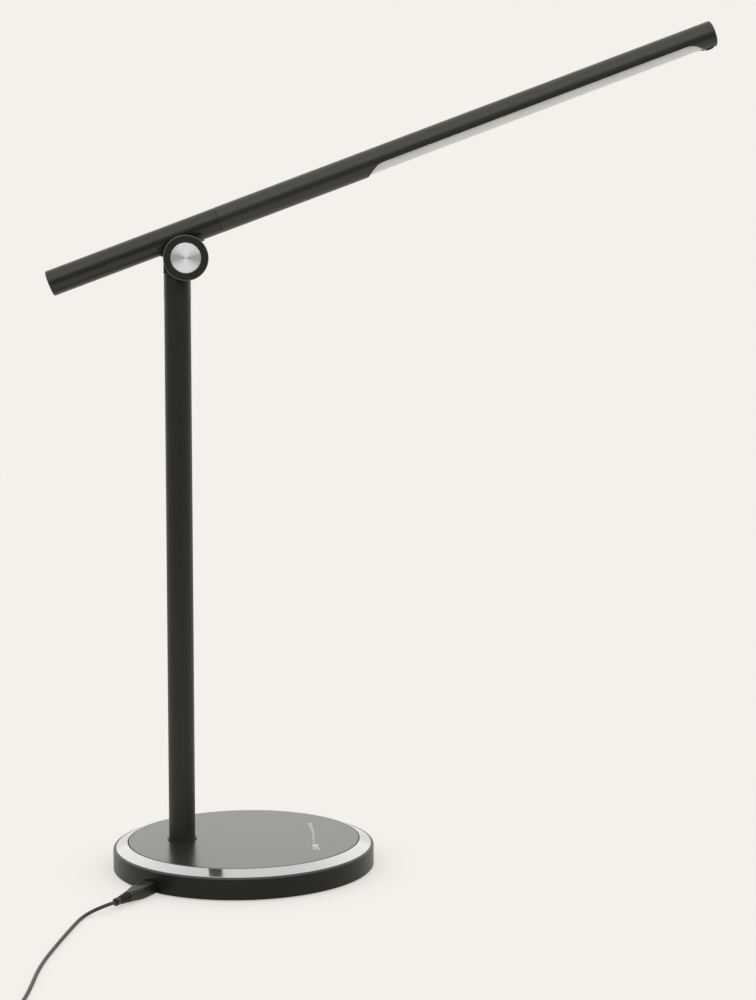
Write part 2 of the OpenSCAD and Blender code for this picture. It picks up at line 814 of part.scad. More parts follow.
module roll_bush() {
  journal_end = arm_front + journal_l;
  color("#b99a55") in_arm() difference() {
    union() {
      along(arm_front - bush_l, arm_front, arm_bore - seat_fit);
      along(arm_front - eps, journal_end, journal_r);
    }
    along(arm_front - bush_l - 1, journal_end + 1, lead_bore);
    difference() {
      along(pin_s - pin_r - 0.2, pin_s + pin_r + 0.2, journal_r + 1);
      along(pin_s - pin_r - 1, pin_s + pin_r + 1, journal_r - pin_deep);
      roll_stop_wedge();
    }
    difference() {
      along(hub_end + 0.2, hub_end + 0.2 + clip_t + 0.1, journal_r + 1);
      along(hub_end, hub_end + clip_t + 1, journal_r - 1);
    }
  }
}

// Part of the journal left standing, which stops the pin at both limits
module roll_stop_wedge() {
  half = 180 - roll_limit - pin_half_angle - roll_margin;
  translate([pin_s - pin_r - 1, 0, arm_rise]) rotate([0, 90, 0]) rotate([0, 0, -half])
    rotate_extrude(angle = 2 * half) square([journal_r + 2, 2 * pin_r + 2]);
}

module arm_lead() {
  color("#e4e2dc") in_arm() along(-lead_hole_s - lead_r, arm_front + journal_l + 1, lead_r);
}

// ---------------------------------------------------------------- head

module head_tube() {
  color("#53534e") in_arm() difference() {
    along(head_start, head_end, head_r);
    along(head_start - 1, head_end + 1, head_bore);
    light_opening();
    translate([bumper_s, 0, 0]) upright(0, arm_rise, 1.5 + seat_fit);
  }
}

// Opening for the light: flat edge, rounded and sloping ends. Each slope starts just inside its rounding.
module light_opening() {
  deep = head_r + 3;
  bottom_run = slot_tangent + (deep - slot_start) / tan(slot_slope);
  translate([0, cut / 2, arm_rise]) rotate([90, 0, 0]) linear_extrude(height = cut) {
    translate([flat_from, -deep]) square([flat_to - flat_from, deep - slot_drop]);
    for (s = [flat_from, flat_to]) translate([s, -slot_drop - slot_round]) circle(slot_round);
    polygon([
      [flat_from - slot_tangent, -slot_start], [flat_from - bottom_run, -deep],
      [flat_to + bottom_run, -deep], [flat_to + slot_tangent, -slot_start]
    ]);
  }
}

module head_hub() {
  color("#2c2b28") in_arm() difference() {
    along(head_start + 0.3, hub_end, head_bore - seat_fit);
    along(head_start - 1, hub_end + 1, journal_r + run_fit);
    translate([pin_s, 0, arm_rise]) upright(0, head_r, pin_r + seat_fit);
  }
}

module roll_stop_pin() {
  color("#9a9c9e") in_arm() translate([pin_s, 0, arm_rise])
    upright(journal_r - pin_deep + 0.2, head_bore - 0.3, pin_r);
}

module roll_circlip() {
  color("#8f9194") in_arm() difference() {
    along(hub_end + 0.25, hub_end + 0.25 + clip_t, journal_r + 1);
    along(hub_end, hub_end + clip_t + 1, journal_r - 1 + run_fit);
    translate([0, 0, arm_rise]) block([0, -2, 0], [cut * 3, 2, cut]);
  }
}

module led_carrier() {
  color("#a9abad") in_arm() intersection() {
    along(carrier_start, carrier_end, carrier_r);
    translate([0, 0, arm_rise])
      block([0, -cut, carrier_face], [head_reach, cut, carrier_face + carrier_t]);
  }
}

module led_board() {
  color("#e9e9e4") in_arm() translate([0, 0, arm_rise]) block(
    [board_from, -led_board_w / 2, led_face], [board_to, led_board_w / 2, carrier_face - 0.02]
  );
}

module led_chips() {
  pitch = (board_to - board_from) / led_n;
  color("#f2d873") in_arm() translate([0, 0, arm_rise]) for (i = [0:led_n - 1]) {
    s = board_from + (i + 0.5) * pitch;
    block([s - led_l / 2, -led_w / 2, led_face - led_h - 0.02],
          [s + led_l / 2, led_w / 2, led_face - 0.02]);
  }
}

module head_lead() {
  color("#e4e2dc") in_arm() along(arm_front + journal_l + 2, carrier_start - 0.3, lead_r - 0.2);
}

module diffuser() {
  s0 = slot_from - 2.5;
  s1 = slot_to + 1.5;
  color("#e8eae4") in_arm() difference() {
    along(s0, s1, diffuser_r);
    along(s0 - 1, s1 + 1, diffuser_r - diffuser_wall);
    translate([0, 0, arm_rise]) block([0, -cut, carrier_face - 0.05], [head_reach, cut, cut]);
  }
}

module head_end_cap() {
  color("#3c3b36") in_arm() difference() {
    translate([head_end, 0, arm_rise]) rotate([0, 90, 0]) tube_cap(head_r, head_bore);
    translate([0, 0, arm_rise])
      block([head_end - endcap_spigot - 1, -cut, -cut], [head_end, cut, -slot_drop]);
  }
}

module bumper_pad() {
  stem_head_r = 2.1;
  seat = arm_rise - sqrt(pow(head_bore, 2) - pow(stem_head_r, 2)) + 0.05;
  tip = arm_rise - head_r - bumper_h;
  half = bumper_l / 2;
  color("#151513") in_arm() translate([bumper_s, 0, 0]) {
    difference() {
      translate([0, bumper_w / 2, 0]) rotate([90, 0, 0]) linear_extrude(height = bumper_w)
        polygon([
          [-half, tip + 3], [-half, tip + 0.7], [-half + 0.8, tip], [half - 0.8, tip],
          [half, tip + 0.7], [half, tip + 3]
        ]);
      along(-cut, cut, head_r + 0.02);
    }
    upright(tip + 0.2, seat + 0.8, 1.5);
    upright(seat, seat + 0.8, stem_head_r);
  }
}

// ---------------------------------------------------------------- plug

module cord_plug() {
  s1 = socket_face + plug_l;
  w = plug_w / 2;
  h = plug_h / 2;
  color("#302f2b") at_socket() {
    difference() {
      union() {
        plug_block(socket_face, s1, w, h);
        hull() {
          plug_block(s1 - 1, s1, w, h);
          plug_block(relief_from - 1, relief_from, relief_d1 / 2 + 0.4, relief_d1 / 2);
        }
      }
      block([socket_face + 7, -w + 2.4, h - 0.5], [s1 - 1, w - 2.4, h + 1]);
    }
    translate([relief_from - eps, 0, 0]) rotate([0, 90, 0])
      cylinder(h = relief_l + eps, d1 = relief_d1 - 1.2, d2 = relief_d2 - 1);
    relief_ribs();
  }
}

// Rounded bar of the plug's moulding, between two places along its axis
module plug_block(s0, s1, w, h) {
  r = 1.2;
  translate([s0, 0, 0]) rotate([90, 0, 90]) linear_extrude(height = s1 - s0) {
    translate([-w + r, -h]) square([2 * w - 2 * r, 2 * h]);
    translate([-w, -h + r]) square([2 * w, 2 * h - 2 * r]);
    for (a = [-1, 1], b = [-1, 1]) translate([a * (w - r), b * (h - r)]) circle(r, $fn = 24);
  }
}

// Ribs round the strain relief, and the plain end of it
module relief_ribs() {
  ribs = 5;
  end_l = 4;
  pitch = (relief_l - end_l) / ribs;
  for (i = [0:ribs - 1]) {
    d = relief_d1 + (relief_d2 - relief_d1) * i / ribs;
    translate([relief_from + (i + 0.45) * pitch, 0, 0]) rotate([0, 90, 0])
      cylinder(h = 0.55 * pitch, d = d);
  }
  translate([relief_to - end_l, 0, 0]) rotate([0, 90, 0])
    cylinder(h = end_l, d1 = relief_d2 + 0.3, d2 = relief_d2);
}

module cord_plug_tip() {
  color("#c4c6c8") at_socket() translate([socket_face - tip_l, 0, 0]) rotate([90, 0, 90])
    linear_extrude(height = tip_l) {
      translate([-tip_w / 2 + tip_round, -tip_h / 2]) square([tip_w - 2 * tip_round, tip_h]);
      translate([-tip_w / 2, -tip_h / 2 + tip_round]) square([tip_w, tip_h - 2 * tip_round]);
    }
}

// ---------------------------------------------------------------- cords

// Points of a smooth line through the route, about step apart
function smooth_line(p, step) = [
  for (i = [0:len(p) - 2])
    let (
      a = p[max(i - 1, 0)], b = p[i], c = p[i + 1], d = p[min(i + 2, len(p) - 1)],
      n = max(1, ceil(norm(c - b) / step))
    )
    for (j = [0:n - 1]) let (t = j / n) (
      2 * b + (c - a) * t + (2 * a - 5 * b + 4 * c - d) * pow(t, 2)
      + (3 * b - a - 3 * c + d) * pow(t, 3)
    ) / 2,
  p[len(p) - 1]
];

function unit(v) = v / norm(v);

// Tube swept along a line that never runs upright
module swept_tube(line, r, sides) {
  n = len(line);
  rings = [
    for (i = [0:n - 1])
      let (
        t = unit(line[min(i + 1, n - 1)] - line[max(i - 1, 0)]),
        u = unit(cross([0, 0, 1], t)), v = cross(t, u)
      )
      for (k = [0:sides - 1]) let (a = 360 * (k + 0.5) / sides) line[i] + r * (cos(a) * u + sin(a) * v)
  ];
  walls = [
    for (i = [0:n - 2], k = [0:sides - 1]) let (j = (k + 1) % sides)
      [i * sides + k, (i + 1) * sides + k, (i + 1) * sides + j, i * sides + j]
  ];
  first = [for (k = [0:sides - 1]) k];
  last = [for (k = [0:sides - 1]) n * sides - 1 - k];
  polyhedron(points = rings, faces = concat([first], walls, [last]));
}

// Place in the base, from one in the socket's frame at height z
function socket_point(u, v, z) = [
  u * cos(socket_dir) - (v - socket_side) * sin(socket_dir),
  u * sin(socket_dir) + (v - socket_side) * cos(socket_dir), z
];

module base_wiring() {
  board_end = touch_x - board_plug_x - 0.15;
  color("#b03a2e") swept_tube(smooth_line([
    socket_point(socket_board_s + 2, 0, socket_z - socket_h / 2 + wire_r),
    socket_point(socket_board_s - 2, 0, socket_z),
    socket_point(socket_board_s - 5, 0, (socket_z + wire_z) / 2),
    socket_point(notch_s + 1.5, 0, wire_z), socket_point(notch_s - 6, 0, wire_z),
    [-22, -31, wire_z], [6, -25, wire_z], [24, touch_y - board_plug_y, wire_z],
    [board_end - 8, touch_y - board_plug_y, wire_z],
    [board_end, touch_y - board_plug_y, wire_end_z]
  ], 8), wire_r, 8);
  color("#b03a2e") swept_tube(smooth_line([
    [pole_x - 1, 0, ballast_top - wire_r], [pole_x + 4, 0, ballast_top - 2],
    [pole_x + 14, 0, ballast_top - 3.5], [pole_x + channel_l - 16, 0, ballast_top - 3],
    [pole_x + channel_l, 0, wire_z], [18, 10, wire_z], [27, touch_y + board_plug_y, wire_z],
    [board_end - 8, touch_y + board_plug_y, wire_z],
    [board_end, touch_y + board_plug_y, wire_end_z]
  ], 8), wire_r, 8);
}

module power_cord() {
  color("#3a3833") swept_tube(smooth_line(cord_route, 7), cord_r, 8);
}

module cord_tail() {
  color("#3a3833") swept_tube(smooth_line(tail_route, 7), cord_r, 8);
}

module cord_coil() {
  w = coil_wide / 2;
  c = 1.6;
  color("#3a3833") translate([coil_x, coil_y, coil_lift]) rotate_extrude() polygon([
    [coil_r - w, c], [coil_r - w + c, 0], [coil_r + w - c, 0], [coil_r + w, c],
    [coil_r + w, coil_high - c], [coil_r + w - c, coil_high], [coil_r - w + c, coil_high],
    [coil_r - w, coil_high - c]
  ]);
}

module cord_tie() {
  w = coil_wide / 2 + 0.45;
  t = 0.5;
  long = 5;
  color("#22211f") translate([coil_x, coil_y - coil_r, coil_lift - 0.1]) difference() {
    block([-long / 2, -w - t, -t], [long / 2, w + t, coil_high + 0.3 + t]);
    block([-long, -w, 0], [long, w, coil_high + 0.3]);
  }
}

// Far plug: a USB-A plug lying beside the coil
usb_x = -76.4;
usb_y = -329;
usb_z = 4.2;

module usb_plug() {
  color("#302f2b") translate([usb_x, usb_y, usb_z]) rotate([0, 0, -90]) {
    translate([8, 0, 0]) plug_block(0, 20, 7.6, 4.1);
    rotate([0, 90, 0]) cylinder(h = 8 + eps, d1 = 4.6, d2 = 6.4);
  }
}

module usb_plug_shell() {
  color("#c4c6c8") translate([usb_x, usb_y, usb_z]) rotate([0, 0, -90]) difference() {
    block([28, -6, -2.25], [40, 6, 2.25]);
    block([30, -5.6, -0.1], [41, 5.6, 1.85]);
  }
}

base_shell();
base_top_plate();
chrome_ring();
ballast_plate();
bottom_cover();
cover_screws();
foot_pad();
touch_board();
board_screws();
base_wiring();
socket_board();
power_socket();
pole_tube();
pole_collar();
pole_foot();
pole_screws();
pole_lead();
neck_fork();
neck_grub_screw();
hinge_axle();
friction_washers();
disc_springs();
hinge_nut();
hinge_cap_ring();
hinge_cap_disc();
hinge_rear_cover();
arm_tube();
arm_lug();
lug_screws();
arm_end_cap();
roll_bush();
arm_lead();
head_tube();
head_hub();
roll_stop_pin();
roll_circlip();
led_carrier();
led_board();
led_chips();
head_lead();
diffuser();
head_end_cap();
bumper_pad();
cord_plug();
cord_plug_tip();
power_cord();
cord_coil();
cord_tie();
cord_tail();
usb_plug();
usb_plug_shell();
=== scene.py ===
"""Looks of the folding LED desk lamp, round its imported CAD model. Metres, in the model's own frame."""

import json
import math

import bmesh
import bpy
from mathutils import Matrix, Vector


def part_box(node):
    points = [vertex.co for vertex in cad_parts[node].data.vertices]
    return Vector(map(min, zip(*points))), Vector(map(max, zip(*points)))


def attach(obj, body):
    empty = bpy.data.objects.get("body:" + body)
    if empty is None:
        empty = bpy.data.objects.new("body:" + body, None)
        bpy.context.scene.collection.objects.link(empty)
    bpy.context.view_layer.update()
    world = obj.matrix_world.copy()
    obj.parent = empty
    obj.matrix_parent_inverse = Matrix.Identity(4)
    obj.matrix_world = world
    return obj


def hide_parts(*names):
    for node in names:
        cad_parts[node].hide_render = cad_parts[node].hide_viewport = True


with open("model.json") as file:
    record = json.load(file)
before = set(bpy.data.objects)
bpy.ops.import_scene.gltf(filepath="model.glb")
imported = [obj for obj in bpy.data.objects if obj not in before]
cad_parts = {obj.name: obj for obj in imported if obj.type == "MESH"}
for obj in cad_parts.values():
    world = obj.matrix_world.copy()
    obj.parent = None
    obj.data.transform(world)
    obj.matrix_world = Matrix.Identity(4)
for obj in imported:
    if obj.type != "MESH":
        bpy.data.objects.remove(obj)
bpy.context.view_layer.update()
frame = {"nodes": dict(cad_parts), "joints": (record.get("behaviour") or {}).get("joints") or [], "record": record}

MM = 0.001
X, Y, Z = Vector((1, 0, 0)), Vector((0, 1, 0)), Vector((0, 0, 1))

# -------- places, read from the frame

joints = {j["name"]: j for j in frame["joints"]}
slots = {p["node"]: p["material_slot"] for p in frame["record"]["subparts"]}


def columns(x, y, z, origin):
    """Matrix whose local axes are x, y and z, placed at origin."""
    m = Matrix.Identity(4)
    for i, axis in enumerate((x, y, z, origin)):
        m.col[i][0:3] = axis
    return m


def span(node, placement):
    """Lowest and highest local Z of a CAD node in a placement, and its largest distance from that axis."""
    back = placement.inverted()
    local = [back @ v.co for v in frame["nodes"][node].data.vertices]
    heights = [p.z for p in local]
    return min(heights), max(heights), max(math.hypot(p.x, p.y) for p in local)


hinge = Vector(joints["arm_fold"]["pos_m"])
arm_dir = Vector(joints["head_roll"]["axis"]).normalized()
arm_up = arm_dir.cross(Y)
on_arm = Vector(joints["head_roll"]["pos_m"])
arm_foot = on_arm + arm_dir * (hinge - on_arm).dot(arm_dir)

ALONG_ARM = columns(Y, arm_up, arm_dir, arm_foot)
ARM = columns(arm_dir, Y, arm_up, arm_foot)
HINGE_FRONT = columns(X, Z, -Y, hinge)
HINGE_BACK = columns(X, -Z, Y, hinge)
pole_lo, pole_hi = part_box("pole_tube")
POLE = Matrix.Translation(((pole_lo.x + pole_hi.x) / 2, 0, 0))

SOCKET_BEARING = math.radians(240)
SOCKET_SIDE = 19 * MM
SOCKET_Z = 4.8 * MM
SOCKET = Matrix.Rotation(SOCKET_BEARING, 4, "Z") @ Matrix.Translation((0, -SOCKET_SIDE, SOCKET_Z))
ALONG_SOCKET = SOCKET @ columns(Y, Z, X, Vector())

# -------- camera

CAMERA_PLACE = (29.488 * MM, -1319.243 * MM, 359.716 * MM)
CAMERA_YAW = math.radians(-3)
CAMERA_PITCH = math.radians(-3.986)
CAMERA_ROLL = math.radians(-0.074)
FOCAL_LENGTH = 65.585
SENSOR_WIDTH = 36
CLIP_FROM = 0.05
CLIP_TO = 50


def make_camera():
    data = bpy.data.cameras.new("camera")
    data.lens = FOCAL_LENGTH
    data.sensor_width = SENSOR_WIDTH
    data.clip_start = CLIP_FROM
    data.clip_end = CLIP_TO
    camera = bpy.data.objects.new("camera", data)
    turn = Matrix.Rotation(CAMERA_YAW, 4, "Z") @ Matrix.Rotation(math.pi / 2 + CAMERA_PITCH, 4, "X")
    camera.matrix_world = Matrix.Translation(CAMERA_PLACE) @ turn @ Matrix.Rotation(CAMERA_ROLL, 4, "Z")
    bpy.context.scene.collection.objects.link(camera)
    bpy.context.scene.camera = camera


make_camera()

# -------- meshes

TINY = 1e-7  # two points nearer than this are one
GUARD = 0.03 * MM
GUARD_SHARE = 0.06  # at most this share of the flat
CUT_SHARE = 0.42  # a rounding takes at most this share of a side
FLAT_BEND = math.radians(14)  # a bend below this stays as it is
SMOOTH_ANGLE = 32


def ease(t):
    """0 to 1 with a soft start and end."""
    return t * t * (3 - 2 * t)


def between(ends, t):
    """Number from the first of ends to the second by t."""
    return ends[0] + (ends[1] - ends[0]) * t


def softened(profile, radius, steps=4):
    """Profile with its corners rounded, except those on the axis. Guard points keep flats flat."""
    points = [Vector(p) for p in profile]
    out = []
    for i, p in enumerate(points):
        before, after = points[i - 1] - p, points[(i + 1) % len(points)] - p
        if p.x < TINY or min(before.length, after.length) < TINY:
            out.append(p)
            continue
        half = before.angle(after) / 2
        if math.pi - 2 * half < FLAT_BEND:
            out.append(p)
            continue
        cut = min(radius / math.tan(half), CUT_SHARE * before.length, CUT_SHARE * after.length)
        r = cut * math.tan(half)
        centre = p + (before.normalized() + after.normalized()).normalized() * (r / math.sin(half))
        start = p + before.normalized() * cut - centre
        end = p + after.normalized() * cut - centre
        out.append(centre + start + before.normalized() * min(GUARD, GUARD_SHARE * before.length))
        for k in range(steps + 1):
            out.append(centre + start.lerp(end, k / steps).normalized() * r)
        out.append(centre + end + after.normalized() * min(GUARD, GUARD_SHARE * after.length))
    return out


def arc(centre, radius, a0, a1, steps):
    """Points of an arc, from angle a0 to a1 in degrees."""
    turn = [math.radians(a0 + (a1 - a0) * k / steps) for k in range(steps + 1)]
    return [(centre[0] + radius * math.cos(a), centre[1] + radius * math.sin(a)) for a in turn]


def shade(mesh, smooth_angle):
    mesh.shade_smooth()
    mesh.set_sharp_from_angle(angle=math.radians(smooth_angle))


def finish_mesh(bm, name, smooth_angle=SMOOTH_ANGLE):
    bmesh.ops.remove_doubles(bm, verts=bm.verts, dist=TINY / 10)
    bmesh.ops.recalc_face_normals(bm, faces=bm.faces)
    mesh = bpy.data.meshes.new(name)
    bm.to_mesh(mesh)
    bm.free()
    shade(mesh, smooth_angle)
    return mesh


def lathe(name, profile, segments):
    """Closed mesh turned about local Z from (radius, height) points."""
    bm = bmesh.new()
    turn = [2 * math.pi * k / segments for k in range(segments)]
    rings = []
    for r, z in profile:
        if r < TINY:
            rings.append([bm.verts.new((0, 0, z))])
        else:
            rings.append([bm.verts.new((r * math.cos(a), r * math.sin(a), z)) for a in turn])
    for a, b in zip(rings, rings[1:] + rings[:1]):
        for k in range(segments):
            n = (k + 1) % segments
            corners = [a[k % len(a)], a[n % len(a)], b[n % len(b)], b[k % len(b)]]
            face = [v for i, v in enumerate(corners) if v not in corners[:i]]
            if len(face) > 2:
                bm.faces.new(face)
    return finish_mesh(bm, name)


def loft(name, sections, smooth_angle=SMOOTH_ANGLE):
    """Closed mesh through rings of points, each ring with as many points."""
    bm = bmesh.new()
    rings = [[bm.verts.new(p) for p in ring] for ring in sections]
    count = len(rings[0])
    for a, b in zip(rings, rings[1:]):
        for k in range(count):
            n = (k + 1) % count
            bm.faces.new((a[k], a[n], b[n], b[k]))
    bm.faces.new(rings[0])
    bm.faces.new(rings[-1])
    return finish_mesh(bm, name, smooth_angle)


def prism(name, outline, low, high, placement=None):
    """Outline of (x, y) points raised from local Z low to high."""
    mesh = loft(name, [[(x, y, z) for x, y in outline] for z in (low, high)])
    if placement is not None:
        mesh.transform(placement)
    return mesh


def rounded_outline(half_x, half_y, radius, steps=6):
    """Rectangle with round corners, about the origin."""
    x, y = half_x - radius, half_y - radius
    corners = [((x, y), 0), ((-x, y), 90), ((-x, -y), 180), ((x, -y), 270)]
    return [p for c, a in corners for p in arc(c, radius, a, a + 90, steps)]


def add_object(name, mesh, placement=None):
    obj = bpy.data.objects.new(name, mesh)
    if placement is not None:
        obj.matrix_world = placement
    bpy.context.scene.collection.objects.link(obj)
    return obj


def bevel(obj, width, above):
    """Bevel of that width on edges that bend by more than so many degrees."""
    step = obj.modifiers.new("edge", "BEVEL")
    step.width = width
    step.segments = 2
    step.limit_method = "ANGLE"
    step.angle_limit = math.radians(above)


def apply_modifiers(obj, smooth_angle=SMOOTH_ANGLE):
    bpy.context.view_layer.update()
    seen = obj.evaluated_get(bpy.context.evaluated_depsgraph_get())
    mesh = bpy.data.meshes.new_from_object(seen)
    obj.modifiers.clear()
    obj.data = mesh
    shade(mesh, smooth_angle)


def carve(obj, cutters, edge=0.0, smooth_angle=SMOOTH_ANGLE):
    """Cuts the cutters out of obj, then softens the edges that are left by edge."""
    for cutter in cutters:
        step = obj.modifiers.new("cut", "BOOLEAN")
        step.operation = "DIFFERENCE"
        step.solver = "EXACT"
        step.object = cutter
    if edge:
        bevel(obj, edge, 40)
    apply_modifiers(obj, smooth_angle)
    obj.modifiers.new("even_normals", "WEIGHTED_NORMAL").keep_sharp = True
    for cutter in cutters:
        bpy.data.objects.remove(cutter)


# -------- materials

BEVEL_SAMPLES = 6
RUBBED_EDGE = 0.3 * MM
SOFT_EDGE = 0.25 * MM
PAINT_GRAIN = 0.5 * MM
PAINT_DEPTH = 0.012 * MM
MOULD_GRAIN = 0.35 * MM
MOULD_DEPTH = 0.02 * MM


def wire_node(tree, kind, **values):
    made = tree.nodes.new(kind)
    for key, value in values.items():
        setattr(made, key, value)
    return made


def wire_map(tree, value, stops, **values):
    """Map Range node from value, with stops of (from, to, from, to)."""
    made = wire_node(tree, "ShaderNodeMapRange", **values)
    for key, number in zip(("From Min", "From Max", "To Min", "To Max"), stops):
        made.inputs[key].default_value = number
    tree.links.new(value, made.inputs["Value"])
    return made.outputs["Result"]


def wire_blend(tree, factor, first, second, **values):
    """Colour from first to second by factor. Each is a colour or an output."""
    made = wire_node(tree, "ShaderNodeMix", data_type="RGBA", **values)
    tree.links.new(factor, made.inputs["Factor"])
    for value, socket in ((first, made.inputs["A"]), (second, made.inputs["B"])):
        if isinstance(value, tuple):
            socket.default_value = (*value, 1)
        else:
            tree.links.new(value, socket)
    return made.outputs["Result"]


def wire_math(tree, operation, first, second):
    made = wire_node(tree, "ShaderNodeMath", operation=operation)
    tree.links.new(first, made.inputs[0])
    tree.links.new(second, made.inputs[1])
    return made.outputs["Value"]


class Shader:
    """A Principled material and short ways to wire nodes into it."""

    def __init__(self, name, color, roughness, metallic=0.0):
        self.material = bpy.data.materials.new(name)
        self.material.use_nodes = True
        self.tree = self.material.node_tree
        self.tree.nodes.clear()
        self.bsdf = self.node("ShaderNodeBsdfPrincipled")
        output = self.node("ShaderNodeOutputMaterial")
        self.tree.links.new(self.bsdf.outputs["BSDF"], output.inputs["Surface"])
        self.set("Base Color", (*color, 1))
        self.set("Roughness", roughness)
        self.set("Metallic", metallic)
        self.where = self.node("ShaderNodeTexCoord").outputs["Object"]

    def node(self, kind, **values):
        return wire_node(self.tree, kind, **values)

    def set(self, socket, value):
        self.bsdf.inputs[socket].default_value = value

    def link(self, output, socket):
        self.tree.links.new(output, socket)

    def paint(self, output):
        self.link(output, self.bsdf.inputs["Base Color"])

    def rough(self, output):
        self.link(output, self.bsdf.inputs["Roughness"])

    def noise(self, size, detail=2.0, stretch=(1, 1, 1)):
        """Noise with features about size metres across, from 0 to 1."""
        place = self.node("ShaderNodeMapping")
        place.inputs["Scale"].default_value = stretch
        self.link(self.where, place.inputs["Vector"])
        made = self.node("ShaderNodeTexNoise")
        made.inputs["Scale"].default_value = 1 / size
        made.inputs["Detail"].default_value = detail
        self.link(place.outputs["Vector"], made.inputs["Vector"])
        return made.outputs["Fac"]

    def grains(self, size):
        """Cells about size metres across, as on textured mouldings."""
        made = self.node("ShaderNodeTexVoronoi")
        made.inputs["Scale"].default_value = 1 / size
        self.link(self.where, made.inputs["Vector"])
        return made.outputs["Distance"]

    def spread(self, value, low, high, start=0.3, end=0.7):
        """A value from start..end mapped to low..high."""
        return wire_map(self.tree, value, (start, end, low, high))

    def blend(self, factor, first, second):
        return wire_blend(self.tree, factor, first, second)

    def facing(self):
        """How far the surface faces the object's own Z, from -1 to 1."""
        made = self.node("ShaderNodeSeparateXYZ")
        self.link(self.node("ShaderNodeTexCoord").outputs["Normal"], made.inputs["Vector"])
        return made.outputs["Z"]

    def rings(self, pitch, distortion, detail, detail_scale=1.0):
        """Fine turned rings round the object's own Z, from 0 to 1."""
        made = self.node("ShaderNodeTexWave", wave_type="RINGS", rings_direction="Z")
        made.inputs["Scale"].default_value = 1 / pitch
        made.inputs["Distortion"].default_value = distortion
        made.inputs["Detail"].default_value = detail
        made.inputs["Detail Scale"].default_value = detail_scale
        self.link(self.where, made.inputs["Vector"])
        return made.outputs["Fac"]

    def edges(self, radius):
        """1 on edges sharper than radius, 0 on flat and gently curved faces."""
        bent = self.node("ShaderNodeBevel", samples=BEVEL_SAMPLES)
        bent.inputs["Radius"].default_value = radius
        flat = self.node("ShaderNodeNewGeometry")
        dot = self.node("ShaderNodeVectorMath", operation="DOT_PRODUCT")
        self.link(bent.outputs["Normal"], dot.inputs[0])
        self.link(flat.outputs["Normal"], dot.inputs[1])
        return self.spread(dot.outputs["Value"], 1, 0, 0.8, 0.99)

    def relief(self, height, depth, soften=0.0):
        """Bump of that depth in metres. With soften, edges are rounded by that radius too."""
        made = self.node("ShaderNodeBump")
        made.inputs["Strength"].default_value = 1
        made.inputs["Distance"].default_value = depth
        self.link(height, made.inputs["Height"])
        if soften:
            bent = self.node("ShaderNodeBevel", samples=BEVEL_SAMPLES)
            bent.inputs["Radius"].default_value = soften
            self.link(bent.outputs["Normal"], made.inputs["Normal"])
        self.link(made.outputs["Normal"], self.bsdf.inputs["Normal"])


def tinted(color, factor):
    return tuple(min(1.0, c * factor) for c in color)


def coated(name, color, roughness, ior=1.5):
    """Satin paint or moulded plastic: slow tone changes, fine grain, slightly rubbed edges."""
    s = Shader(name, color, roughness)
    s.set("IOR", ior)
    tone = s.blend(s.noise(30 * MM, 3), tinted(color, 0.92), tinted(color, 1.08))
    flecks = s.blend(s.spread(s.noise(1.2 * MM, 2), 0, 1), tone, tinted(color, 1.12))
    fine = s.blend(s.spread(s.noise(4 * MM, 4), 0, 0.5), tone, flecks)
    s.paint(s.blend(s.edges(RUBBED_EDGE), fine, tinted(color, 1.5)))
    s.rough(s.spread(s.noise(9 * MM, 4), roughness - 0.04, roughness + 0.04))
    s.relief(s.noise(PAINT_GRAIN, 2), PAINT_DEPTH, SOFT_EDGE)
    return s.material


def glossy_plate():
    """Dark lacquered plate: clear reflections, softly blurred, with faint wiping marks."""
    color = (0.014, 0.0145, 0.0125)
    s = Shader("top_plate", color, 0.26)
    s.set("IOR", 1.6)
    s.set("Coat Weight", 0.6)
    s.set("Coat Tint", (0.95, 1.0, 0.93, 1))
    s.set("Coat Roughness", 0.26)
    s.paint(s.blend(s.noise(35 * MM, 3), tinted(color, 0.9), tinted(color, 1.1)))
    s.rough(s.spread(s.noise(20 * MM, 4, (1, 2.5, 1)), 0.25, 0.27))
    s.relief(s.noise(0.3 * MM, 2), 0.001 * MM)
    return s.material


def moulded(name, color, roughness, grain=MOULD_GRAIN, depth=MOULD_DEPTH):
    """Spark-eroded plastic or rubber."""
    s = Shader(name, color, roughness)
    tone = s.blend(s.noise(22 * MM, 3), tinted(color, 0.9), tinted(color, 1.1))
    s.paint(s.blend(s.edges(RUBBED_EDGE), tone, tinted(color, 1.6)))
    s.rough(s.spread(s.noise(3 * MM, 4), roughness - 0.06, roughness + 0.06))
    s.relief(s.grains(grain), depth, SOFT_EDGE)
    return s.material


def base_moulding():
    """Satin black moulding with a painted highlight: paler on its upper rim, where the rounding faces up."""
    color = (0.0078, 0.0070, 0.0050)
    s = Shader("base_plastic", color, 0.36)
    s.set("Specular IOR Level", 0.25)
    tone = s.blend(s.noise(22 * MM, 3), tinted(color, 0.9), tinted(color, 1.1))
    # Painted highlight: the rounding of the upper rim, where it faces up, is given a paler purple-grey colour.
    rim = s.spread(s.facing(), 0, 1, 0.1, 0.45)
    s.paint(s.blend(rim, tone, (0.062, 0.053, 0.057)))
    s.rough(s.spread(s.noise(3 * MM, 4), 0.31, 0.41))
    s.relief(s.grains(MOULD_GRAIN), MOULD_DEPTH, SOFT_EDGE)
    return s.material


def metal(name, color, roughness, stretch=(1, 1, 1), depth=0.003 * MM):
    """Bare metal with fine machining lines along the axis that stretch leaves long."""
    s = Shader(name, color, roughness, 1.0)
    lines = s.noise(0.4 * MM, 3, stretch)
    s.paint(s.blend(lines, tinted(color, 0.88), tinted(color, 1.06)))
    s.rough(s.spread(s.noise(6 * MM, 3), roughness - 0.05, roughness + 0.07))
    s.relief(lines, depth, 0.15 * MM)
    return s.material


